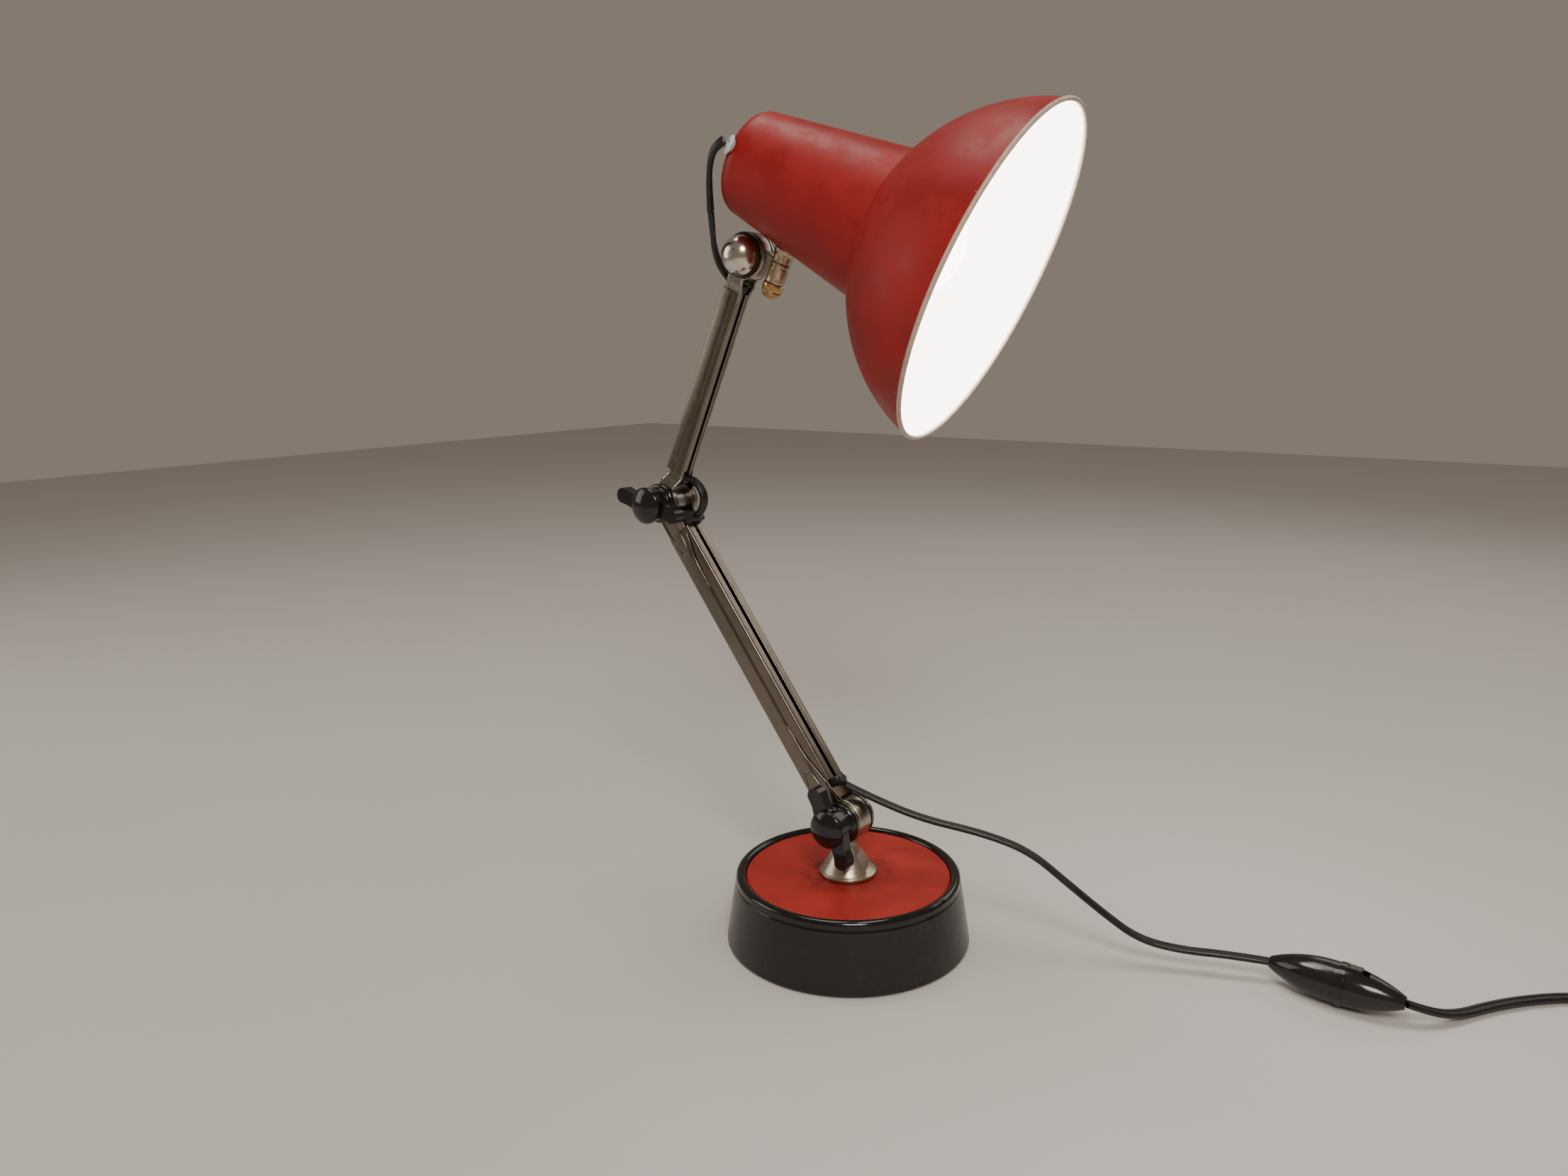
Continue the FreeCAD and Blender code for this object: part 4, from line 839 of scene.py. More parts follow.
class Studio:
    """Floor, light and camera; none of it belongs to the lamp."""

    LENS = 27.03
    DISTANCE = 0.63067
    HEIGHT = 0.3410
    ROUND = 34.0
    PITCH = 12.09
    YAW = -3.20
    ROLL = -0.58

    def camera(self) -> bpy.types.Object:
        """Stand the camera in front of the knobs, a little above the base.

        Returns:
            The scene's camera.
        """
        turn = math.radians(self.ROUND)
        pitch = math.radians(self.PITCH)
        yaw = math.radians(self.YAW)
        roll = math.radians(self.ROLL)
        spin = Matrix.Rotation(turn, 3, "Z")
        forward = Vector((math.sin(yaw) * math.cos(pitch), math.cos(yaw) * math.cos(pitch), -math.sin(pitch)))
        level = Vector((math.cos(yaw), -math.sin(yaw), 0))
        rise = level.cross(forward)
        right = level * math.cos(roll) + rise * math.sin(roll)
        rise = right.cross(forward)
        data = bpy.data.cameras.new("camera")
        data.lens = self.LENS
        data.sensor_width = 36.0
        data.sensor_fit = "HORIZONTAL"
        data.clip_start = 0.01
        holder = bpy.data.objects.new("camera", data)
        bpy.context.scene.collection.objects.link(holder)
        axes = Matrix((spin @ right, spin @ rise, spin @ -forward)).transposed().to_4x4()
        spot = spin @ Vector((0, -self.DISTANCE, self.HEIGHT))
        holder.matrix_world = Matrix.Translation(spot) @ axes
        bpy.context.scene.camera = holder
        return holder

    def floor(self) -> None:
        """Lay a pale flat floor under the lamp."""
        blank = Blank()
        half = 3.0
        corners = [Vector((-half, -half, -0.0004)), Vector((half, -half, -0.0004)),
                   Vector((half, half, -0.0004)), Vector((-half, half, -0.0004))]
        blank.face([blank.bm.verts.new(c) for c in corners])
        floor = bpy.data.objects.new("studio_floor", blank.mesh("studio_floor"))
        bpy.context.scene.collection.objects.link(floor)
        recipe = Recipe("studio_paper")
        tone = recipe.noise(5, 3, 0.5)
        recipe.drive("Base Color", recipe.mixed(tone, (0.60, 0.58, 0.57), (0.64, 0.62, 0.61)))
        recipe.fixed(Roughness=0.85)
        floor.data.materials.append(recipe.material)

    def softbox(self, name: str, spot: Sequence[float], aim: Sequence[float], size: Tuple[float, float],
                power: float, colour: Colour) -> None:
        """Hang one soft light.

        Args:
            name: the light's name.
            spot: where it hangs.
            aim: what it points at.
            size: its width and height.
            power: watts.
            colour: its tint.
        """
        data = bpy.data.lights.new(name, "AREA")
        data.shape = "RECTANGLE"
        data.size, data.size_y = size
        data.energy = power
        data.color = colour
        light = bpy.data.objects.new(name, data)
        bpy.context.scene.collection.objects.link(light)
        light.location = spot
        light.rotation_euler = (Vector(aim) - Vector(spot)).to_track_quat("-Z", "Y").to_euler()

    def light(self) -> None:
        """Soft key from the right, low fill from the left, and a dim room."""
        self.softbox("key", (0.75, -0.85, 1.15), (-0.02, 0.0, 0.2), (0.45, 0.45), 13.0, (1.0, 0.91, 0.80))
        self.softbox("fill", (-1.25, -0.75, 0.7), (-0.05, 0.0, 0.2), (0.7, 0.9), 4.0, (1.0, 0.93, 0.86))
        self.softbox("back", (0.25, 1.35, 1.05), (0.0, 0.0, 0.2), (1.2, 0.6), 3.5, (1.0, 0.93, 0.85))
        self.softbox("top", (-0.3, 0.1, 1.7), (0.0, 0.0, 0.1), (0.7, 0.7), 8.0, (1.0, 0.94, 0.87))
        world = bpy.data.worlds.new("room")
        world.use_nodes = True
        sky = world.node_tree.nodes["Background"]
        sky.inputs["Color"].default_value = (0.78, 0.66, 0.54, 1.0)
        sky.inputs["Strength"].default_value = 0.30
        bpy.context.scene.world = world

    def build(self) -> None:
        """Set the whole studio up."""
        self.camera()
        self.floor()
        self.light()


# ---------------------------------------------------------------- base and foot
@dataclass
class WeightedBase:
    """Tapered moulded shell with a fat glossy bead round a painted disc."""

    radius: float = 70.0 * MM
    top_radius: float = 64.4 * MM
    bead_half: float = 2.85 * MM
    bead_rise: float = 2.6 * MM
    bead_centre: float = 37.6 * MM
    disc_radius: float = 58.6 * MM
    disc_top: float = 38.4 * MM
    disc_thick: float = 1.2 * MM

    def shell(self) -> None:
        """Turn the shell: foot edge, tapered side, quirk under the bead, bead, ledge and inside."""
        middle = self.top_radius - self.bead_half
        bead = [(middle + self.bead_half * math.cos(math.radians(t)),
                 self.bead_centre + self.bead_rise * math.sin(math.radians(t))) for t in range(-14, 181, 12)]
        side = [(self.radius - 3.4 * MM, 0.4 * MM), (self.radius - 1.0 * MM, 0.0), (self.radius, 1.0 * MM),
                (self.top_radius + 0.42 * MM, self.bead_centre - 3.2 * MM),
                (self.top_radius - 0.10 * MM, self.bead_centre - 2.4 * MM)]
        ledge = self.disc_top - self.disc_thick - 0.05 * MM
        inside = [(self.disc_radius + 0.12 * MM, self.disc_top - 0.6 * MM),
                  (self.disc_radius + 0.12 * MM, ledge),
                  (self.disc_radius - 8 * MM, ledge), (self.disc_radius - 8 * MM, ledge - 3 * MM),
                  (self.top_radius - 3.4 * MM, ledge - 3 * MM), (self.radius - 3.4 * MM, 0.4 * MM)]
        profile = soften(side, 0.5 * MM) + bead + soften(inside, 0.3 * MM)
        place(Blank().lathe(profile, segments=FINE), "base_shell_turned", [Stock.BASE], "base",
              stands_for=["base_shell"], sharp=50)

    def disc(self) -> None:
        """Press the painted disc, very slightly dished, with a rolled edge."""
        profile = [(3.2 * MM, self.disc_top - self.disc_thick)]
        edge = [(self.disc_radius - 0.3 * MM, self.disc_top - self.disc_thick),
                (self.disc_radius, self.disc_top - 0.7 * MM),
                (self.disc_radius - 0.6 * MM, self.disc_top)]
        profile += soften(edge, 0.4 * MM)
        rings = 14
        for step in range(1, rings + 1):
            radius = self.disc_radius - 0.6 * MM - (self.disc_radius - 4 * MM) * step / rings
            profile.append((max(radius, 3.2 * MM), self.disc_top - 0.05 * MM))
        profile.append(profile[0])
        disc = place(Blank().lathe(profile, segments=160), "painted_disc", [Stock.DISC], "base",
                     stands_for=["top_disc"])
        mark(disc, "wear", lambda p: 0.22 if math.hypot(p.x, p.y) > self.disc_radius - 1.2 * MM else 0.0)
        mark(disc, "scuff", lambda p: 0.56)

    def build(self) -> None:
        """Make the base and finish the weight, pad and spacer inside it."""
        self.shell()
        self.disc()
        dress({"ballast_weight": Stock.IRON, "base_spacer": Stock.STEEL, "base_pad": Stock.FELT,
               "foot_washer": Stock.STEEL})


def mark(piece: bpy.types.Object, name: str, value: Callable[[Vector], float]) -> None:
    """Store a value on every point of a piece, for its finish to read.

    Args:
        piece: the mesh piece.
        name: the attribute's name.
        value: the value at a local point.
    """
    layer = piece.data.attributes.new(name, "FLOAT", "POINT")
    layer.data.foreach_set("value", [value(vertex.co) for vertex in piece.data.vertices])


def dress(finishes: Dict[str, Finish]) -> None:
    """Give CAD nodes their finishes.

    Args:
        finishes: node name to finish.
    """
    for node, finish in finishes.items():
        data = frame["nodes"][node].data
        data.materials.clear()
        data.materials.append(finish.material())
        LOG.info("%s: dressed in %s", node, finish.name)


@dataclass
class Foot:
    """Cast foot: flanged cone with one flat facet, a waisted neck and the hinge drum."""

    flange: float = 16.6 * MM
    flange_thick: float = 1.6 * MM
    neck: float = 6.3 * MM
    drum: float = 12.6 * MM
    drum_half: float = 5.8 * MM
    facet_turn: float = 24.0

    def cone(self, hinge: Vector) -> None:
        """Turn the cone, flatten its facet and its neck, and add the drum.

        Args:
            hinge: the base hinge's place.
        """
        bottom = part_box("foot_cone")[0].z
        top = hinge.z - 7 * MM
        profile = soften([(3.2 * MM, bottom), (self.flange, bottom),
                          (self.flange, bottom + self.flange_thick),
                          (self.flange - 0.8 * MM, bottom + self.flange_thick + 0.5 * MM)], 0.35 * MM, 4)
        start = profile[-1]
        rows = 16
        for row in range(1, rows + 1):
            share = row / rows
            height = start[1] + (top - start[1]) * share
            lean = max(0.0, 1.0 - share * 1.45)
            profile.append((self.neck + (start[0] - self.neck) * (0.88 * lean + 0.12 * lean ** 3), height))
        profile.append((0.0, top))
        blank = Blank().lathe(profile, segments=160)
        facet = Vector((math.cos(math.radians(self.facet_turn)), math.sin(math.radians(self.facet_turn)), 0))
        low = bottom + self.flange_thick

        def shaped(point: Vector) -> Vector:
            """Flatten the cone's facet and pinch its neck to the drum's width."""
            if point.z > low + 0.6 * MM:
                slope = 12.6 * MM - (point.z - low) * 0.62
                reach = max(slope, self.neck - 0.5 * MM)
                out = point.dot(facet)
                if out > reach:
                    point = point - facet * (out - reach)
            pinch = min(1.0, max(0.0, (point.z - low - 8 * MM) / (8 * MM)))
            limit = 17 * MM + (self.drum_half - 17 * MM) * pinch
            return Vector((point.x, max(-limit, min(limit, point.y)), point.z))

        blank.move(shaped)
        turn = Matrix.Translation(hinge) @ ACROSS
        edge = 0.5 * MM
        drum = soften([(3.1 * MM, -self.drum_half), (self.drum - 1.0 * MM, -self.drum_half),
                       (self.drum, -self.drum_half + 0.9 * MM), (self.drum, self.drum_half - 0.9 * MM),
                       (self.drum - 1.0 * MM, self.drum_half), (3.1 * MM, self.drum_half)], edge, 4)
        blank.lathe(drum + [drum[0]], turn, segments=SMOOTH, finish=1)
        place(blank, "foot_casting", [Stock.TURNED, Stock.CAST], "foot", stands_for=["foot_cone"], sharp=32)

    def build(self, places: Places) -> None:
        """Make the foot and finish its bolt.

        Args:
            places: the lamp's frames.
        """
        self.cone(places.hinge)
        dress({"foot_stud": Stock.STEEL, "foot_nut_set": Stock.STEEL, "base_hinge_washers": Stock.FIBRE})


# ---------------------------------------------------------------- arms
@dataclass
class Channel:
    """Roll-formed slotted channel: its section and how it is finished."""

    width: float
    depth: float
    wall: float
    slot: float
    waist: float
    inset: float
    shift: float = -1.5 * MM

    def section(self) -> List[Point2]:
        """Return the closed section (across, sideways), its slot towards +across."""
        back = self.depth / 2
        side = self.width / 2
        low = side - self.inset
        outer = [(-back, side), (self.waist - 0.6 * MM, side), (self.waist + 0.6 * MM, low), (back, low),
                 (back, self.slot / 2)]
        inner = [(back - self.wall, self.slot / 2), (back - self.wall, low - self.wall),
                 (self.waist + 0.6 * MM, low - self.wall), (self.waist - 0.6 * MM, side - self.wall),
                 (-back + self.wall, side - self.wall)]
        half = outer + inner
        ring = half + [(x, -y) for x, y in reversed(half)]
        return [(x + self.shift, y) for x, y in soften(ring, 1.35 * MM, 5, closed=True)]

    def length(self, blank: Blank, start: float, end: float, finish: int = 0) -> None:
        """Run the channel along local Z.

        Args:
            blank: the mesh being made.
            start: where it begins.
            end: where it ends.
            finish: index of its material.
        """
        stations = 24
        path = [Vector((0, 0, start + (end - start) * k / stations)) for k in range(stations + 1)]
        blank.sweep(path, [(-y, x) for x, y in self.section()], up=Vector((1, 0, 0)), finish=finish)


def ridge(blank: Blank, spots: Sequence[Tuple[float, float]], face_y: float, size: float,
          finish: int = 0) -> None:
    """Raise a pressed bead on a flat side.

    Args:
        blank: the mesh being made.
        spots: the bead's line (across, along).
        face_y: the side's surface.
        size: the bead's half width.
        finish: index of its material.
    """
    line = soften(spots, 8 * MM, 8)
    path = [Vector((x, face_y, z)) for x, z in line]
    turns = [math.tau * k / 12 for k in range(12)]
    flat = [(size * BEAD_RISE * math.sin(t), size * math.cos(t)) for t in turns]
    blank.sweep(path, flat, up=Vector((1, 0, 0.001)), finish=finish,
                size=lambda s: 0.25 + 0.75 * min(1.0, 8 * s, 8 * (1 - s)))


def far_disc(blank: Blank, radius: float, inner_y: float, thick: float, finish: int) -> None:
    """Turn a flat bolt head on the far side of a hinge, about local Y.

    Args:
        blank: the mesh being made.
        radius: its radius.
        inner_y: its seat.
        thick: its thickness.
        finish: index of its material.
    """
    profile = soften([(0.0, inner_y), (radius, inner_y), (radius, inner_y + thick),
                      (radius * 0.45, inner_y + thick), (radius * 0.38, inner_y + thick - 0.35 * MM),
                      (0.0, inner_y + thick - 0.35 * MM)], 0.7 * MM, 4)
    blank.lathe(profile, ACROSS, segments=80, finish=finish)


def hinge_bolt(name: str, body: str, node: str, where: Matrix, head: float, seat: float) -> None:
    """Make a hinge bolt: its flat far disc and its plain shaft.

    Args:
        name: the piece's name.
        body: the body it rides on.
        node: the CAD node it replaces.
        where: placement of its arm.
        head: the far disc's radius.
        seat: the disc's seat.
    """
    bolt = Blank()
    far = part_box(node)[1].y
    far_disc(bolt, head, seat, far - seat, 0)
    start = -seat - SHAFT_PAST
    end = seat + 0.2 * MM
    shaft = soften([(0.0, start), (SHAFT, start), (SHAFT, end), (0.0, end)], 0.3 * MM)
    bolt.lathe(shaft, ACROSS, segments=40)
    place(bolt, name, [Stock.RUSTY], body, where, [node])


@dataclass
class LowerArm:
    """Long slotted channel whose sides run on into a round ear at each end."""

    channel: Channel = field(default_factory=lambda: Channel(15.4 * MM, 17.4 * MM, 1.3 * MM, 2.8 * MM,
                                                             1.4 * MM, 0.7 * MM))
    foot_gap: float = 24.0 * MM
    head_gap: float = 20.5 * MM
    foot_ear: float = 12.3 * MM
    head_ear: float = 11.4 * MM
    lip: float = 0.62 * MM

    def ears(self, blank: Blank, length: float) -> None:
        """Cut the four ears and roll their edges.

        Args:
            blank: the mesh being made.
            length: hinge to hinge.
        """
        side = self.channel.width / 2
        low = -self.channel.depth / 2 + self.channel.shift
        high = self.channel.depth / 2 + self.channel.shift
        foot = ear_outline(self.foot_ear, low + 0.4 * MM, high - 1.2 * MM, self.foot_gap + 0.3 * MM)
        head = ear_outline(self.head_ear, low + 1.6 * MM, high - 1.6 * MM, -self.head_gap - 0.3 * MM)
        ends = ((foot, 0.0), (head, length))
        circle = wire(self.lip)
        for sign in (-1, 1):
            for outline, height in ends:
                where = Matrix.Translation((0, 0, height))
                inner = sign * (side - self.channel.wall)
                blank.prism(outline, min(inner, sign * side), max(inner, sign * side), where, edge=0.4 * MM)
                rolled = [Vector((x * 0.965, sign * (side - 0.25 * MM), z if abs(z) > 0.02 else z * 0.965))
                          for x, z in outline]
                blank.sweep(rolled, circle, where, up=Vector((0, 1, 0)))

    def beads(self, blank: Blank, length: float) -> None:
        """Press the arch and the crease beads at both ends of both sides.

        Args:
            blank: the mesh being made.
            length: hinge to hinge.
        """
        side = self.channel.width / 2
        arch = [(-8.0, 9.0), (-8.0, 27.0), (-6.6, 33.5), (-2.2, 33.5), (-0.6, 27.0), (-0.2, 13.0)]
        crease = [(-0.1, 62.0), (-0.1, 43.0), (2.6, 33.0), (4.4, 25.0), (6.2, 17.0), (9.6, 9.4)]
        for sign in (-1, 1):
            face_y = sign * side
            ridge(blank, [(x * MM, z * MM) for x, z in arch], face_y, 0.75 * MM)
            ridge(blank, [(x * MM, z * MM) for x, z in crease], face_y, 0.85 * MM)
            ridge(blank, [(x * MM * 0.9, length - z * MM * 1.02) for x, z in arch], face_y, 0.7 * MM)
            ridge(blank, [(x * MM, length - z * MM * 0.95) for x, z in crease[:4]], face_y, 0.7 * MM)

    def bushes(self, places: Places) -> None:
        """Mould the exit boot at the foot and the wedge at the elbow.

        Args:
            places: the lamp's frames.
        """
        back = self.channel.depth / 2 + self.channel.shift
        inner = self.channel.width / 2 - self.channel.wall - 0.1 * MM
        mouth = self.foot_gap
        boot = Blank()
        plug = soften([(-2 * MM, mouth - 3.6 * MM), (back - 1.4 * MM, mouth - 3.6 * MM),
                       (back + 1.6 * MM, mouth - 0.6 * MM),
                       (back - 0.2 * MM, mouth - 0.1 * MM), (back - 1.4 * MM, mouth + 3.6 * MM),
                       (-2 * MM, mouth + 3.6 * MM)],
                      1.2 * MM, 4, closed=True)
        boot.prism(plug, -inner + 0.7 * MM, inner - 0.7 * MM, edge=1.0 * MM)
        out = along(Vector((back - 2.6 * MM, 0, mouth - 0.2 * MM)), Vector((0.82, 0, -0.57)))
        relief = soften([(0.0, -1 * MM), (5.2 * MM, -1 * MM), (5.3 * MM, 1.6 * MM), (4.5 * MM, 2.4 * MM),
                         (4.4 * MM, 3.4 * MM),
                         (4.1 * MM, 3.6 * MM), (4.0 * MM, 4.8 * MM), (3.5 * MM, 5.6 * MM),
                         (3.0 * MM, 8.0 * MM), (0.0, 8.0 * MM)],
                        0.6 * MM, 4)
        boot.lathe(relief, out, segments=48)
        trim = back - 4 * MM

        def seated(point: Vector) -> Vector:
            """Keep the boot out of the channel's end wall."""
            if point.x > trim and point.z > mouth - 0.1 * MM:
                return Vector((point.x, point.y, mouth - 0.1 * MM))
            return point

        boot.move(seated)
        place(boot, "exit_boot", [Stock.RUBBER], "lower_arm", places.lower, ["lead_exit_bush"])
        wedge = Blank()
        top = places.lower_length - 12.2 * MM
        base = places.lower_length - 24.6 * MM
        end = places.lower_length - self.head_gap + 0.1 * MM
        outline = soften([(0.2 * MM, base), (0.2 * MM, top - 1 * MM), (3.6 * MM, top + 0.6 * MM),
                          (8 * MM, top),
                          (12.4 * MM, top - 5.6 * MM), (12 * MM, top - 8.4 * MM), (back + 0.3 * MM, end),
                          (back - 1.4 * MM, end), (back - 1.4 * MM, base)], 1.4 * MM, 5, closed=True)
        half = self.channel.width / 2 - self.channel.wall - 0.8 * MM
        wedge.prism(outline, -half, half, edge=1.1 * MM)
        place(wedge, "elbow_wedge", [Stock.RUBBER], "lower_arm", places.lower, ["elbow_lower_bush"])

    def build(self, places: Places) -> None:
        """Make the arm, its bushes and its hinge bolt.

        Args:
            places: the lamp's frames.
        """
        length = places.lower_length
        blank = Blank()
        self.channel.length(blank, self.foot_gap, length - self.head_gap)
        self.ears(blank, length)
        self.beads(blank, length)
        place(blank, "lower_channel", [Stock.NICKEL], "lower_arm", places.lower, ["lower_arm_rail"], sharp=48)
        hinge_bolt("base_bolt", "lower_arm", "base_hinge_bolt", places.lower, self.foot_ear - 1.0 * MM,
                   self.channel.width / 2)
        self.bushes(places)
        dress({"elbow_spacer": Stock.STEEL, "lower_arm_lead": Stock.FLEX})


@dataclass
class UpperArm:
    """Slotted sleeve over two pressed strips that splay into ears at each end."""

    channel: Channel = field(default_factory=lambda: Channel(11.0 * MM, 13.0 * MM, 1.1 * MM, 2.2 * MM,
                                                             1.04 * MM, 0.25 * MM))
    end_gap: float = 20.5 * MM
    strip_width: float = 10.4 * MM
    strip_thick: float = 1.2 * MM
    flange: float = 0.75 * MM
    elbow_ear: float = 11.4 * MM
    head_ear: float = 12.6 * MM
    elbow_y: float = 8.3 * MM
    inner_y: float = 3.2 * MM
    head_y: float = 4.8 * MM

    def spread(self, height: float, length: float) -> float:
        """Return how far out a strip's inner face stands at a height along the arm."""
        def ease(value: float) -> float:
            """Smooth a share from 0 to 1."""
            value = min(1.0, max(0.0, value))
            return value * value * (3 - 2 * value)

        low = ease((19.0 * MM - height) / (7.0 * MM))
        high = ease((height - (length - 19.5 * MM)) / (4.5 * MM))
        return self.inner_y + (self.elbow_y - self.inner_y) * low + (self.head_y - self.inner_y) * high

    def half_width(self, height: float, length: float) -> float:
        """Return half the strip's width at a height along the arm."""
        band = self.strip_width / 2
        result = band if 0 <= height <= length else 0.0
        for centre, radius in ((0.0, self.elbow_ear), (length, self.head_ear)):
            off = abs(height - centre)
            if off < radius:
                result = max(result, math.sqrt(radius ** 2 - off ** 2))
        return result

    def strip(self, blank: Blank, sign: int, length: float) -> None:
        """Press one strip and turn up the flanges at its splayed ends.

        Args:
            blank: the mesh being made.
            sign: -1 for the near strip, 1 for the far one.
            length: elbow to head.
        """
        heights = [-self.elbow_ear * math.cos(math.pi * k / 30) for k in range(24)]
        heights = [h for h in heights if h < 10.1 * MM] + [(10.4 + 0.6 * k) * MM for k in range(18)]
        middle = [22 * MM + (length - 44 * MM) * k / 8 for k in range(9)]
        top = [length - h * self.head_ear / self.elbow_ear for h in heights[:24] if h < 10.1 * MM]
        splay = [length - 20 * MM + 0.6 * MM * k for k in range(15)]
        top = splay + sorted(t for t in top if t > length - 11 * MM)
        stations = sorted(set(heights + middle + top))
        columns = 12
        rows_in, rows_out = [], []
        for height in stations:
            half = max(self.half_width(height, length), 0.05 * MM)
            near = self.spread(height, length)
            row_in, row_out = [], []
            for column in range(columns + 1):
                x = -half + 2 * half * column / columns
                row_in.append(blank.bm.verts.new((x, sign * near, height)))
                row_out.append(blank.bm.verts.new((x, sign * (near + self.strip_thick), height)))
            rows_in.append(row_in)
            rows_out.append(row_out)
        for k in range(len(stations) - 1):
            for column in range(columns):
                for rows in (rows_in, rows_out):
                    blank.face((rows[k][column], rows[k][column + 1], rows[k + 1][column + 1],
                                rows[k + 1][column]))
            for column in (0, columns):
                blank.face((rows_in[k][column], rows_out[k][column], rows_out[k + 1][column],
                            rows_in[k + 1][column]))
        for k in (0, len(stations) - 1):
            for column in range(columns):
                blank.face((rows_in[k][column], rows_in[k][column + 1], rows_out[k][column + 1],
                            rows_out[k][column]))
        circle = wire(self.flange)
        for x_sign in (-1, 1):
            for start, end in ((9.0 * MM, 26.0 * MM), (length - 9.5 * MM, length - 26.0 * MM)):
                path = []
                for k in range(25):
                    height = start + (end - start) * k / 24
                    half = self.half_width(height, length) - 0.25 * MM
                    out = self.spread(height, length) + self.strip_thick * 0.75
                    path.append(Vector((x_sign * half, sign * out, height)))
                blank.sweep(path, circle, up=Vector((0, 1, 0)),
                            size=lambda s: 0.4 + 0.6 * min(1.0, 6 * s, 6 * (1 - s)))

    def build(self, places: Places) -> None:
        """Make the sleeve, strips, elbow bolt and bushes.

        Args:
            places: the lamp's frames.
        """
        length = places.upper_length
        sleeve = Blank()
        self.channel.length(sleeve, self.end_gap, length - self.end_gap)
        place(sleeve, "upper_sleeve", [Stock.NICKEL], "upper_arm", places.upper, ["upper_arm_sleeve"],
              sharp=48)
        strips = Blank()
        for sign in (-1, 1):
            self.strip(strips, sign, length)
        place(strips, "splayed_strips", [Stock.SHEEN], "upper_arm", places.upper, ["upper_strips"], sharp=44)
        hinge_bolt("elbow_pin", "upper_arm", "elbow_bolt", places.upper, self.elbow_ear,
                   self.elbow_y + self.strip_thick)
        self.bushes(places, length)
        dress({"elbow_washers": Stock.FIBRE, "upper_arm_lead": Stock.FLEX})

    def bushes(self, places: Places, length: float) -> None:
        """Mould the rubber at both mouths of the sleeve.

        Args:
            places: the lamp's frames.
            length: elbow to head.
        """
        inner = self.channel.width / 2 - self.channel.wall - self.strip_thick - 0.1 * MM
        back = self.channel.depth / 2 + self.channel.shift
        top = length - self.end_gap
        spans = (("sleeve_foot_bush", "elbow_upper_bush", back - 5.4 * MM, back + 1.2 * MM, 15.4 * MM,
                  self.end_gap - 0.1 * MM),
                 ("sleeve_head_bush", "head_bush", -4.6 * MM, back - 1.2 * MM, top - 2 * MM, top + 4.6 * MM))
        for name, node, left, right, low, high in spans:
            outline = soften([(left, low), (right, low), (right, high), (left, high)], 1.3 * MM, 4,
                             closed=True)
            place(Blank().prism(outline, -inner, inner, edge=0.8 * MM), name, [Stock.RUBBER], "upper_arm",
                  places.upper, [node])


# ---------------------------------------------------------------- knobs and head
class Wings(Enum):
    """How a hand knob is gripped."""

    TWO = 2
    NONE = 0


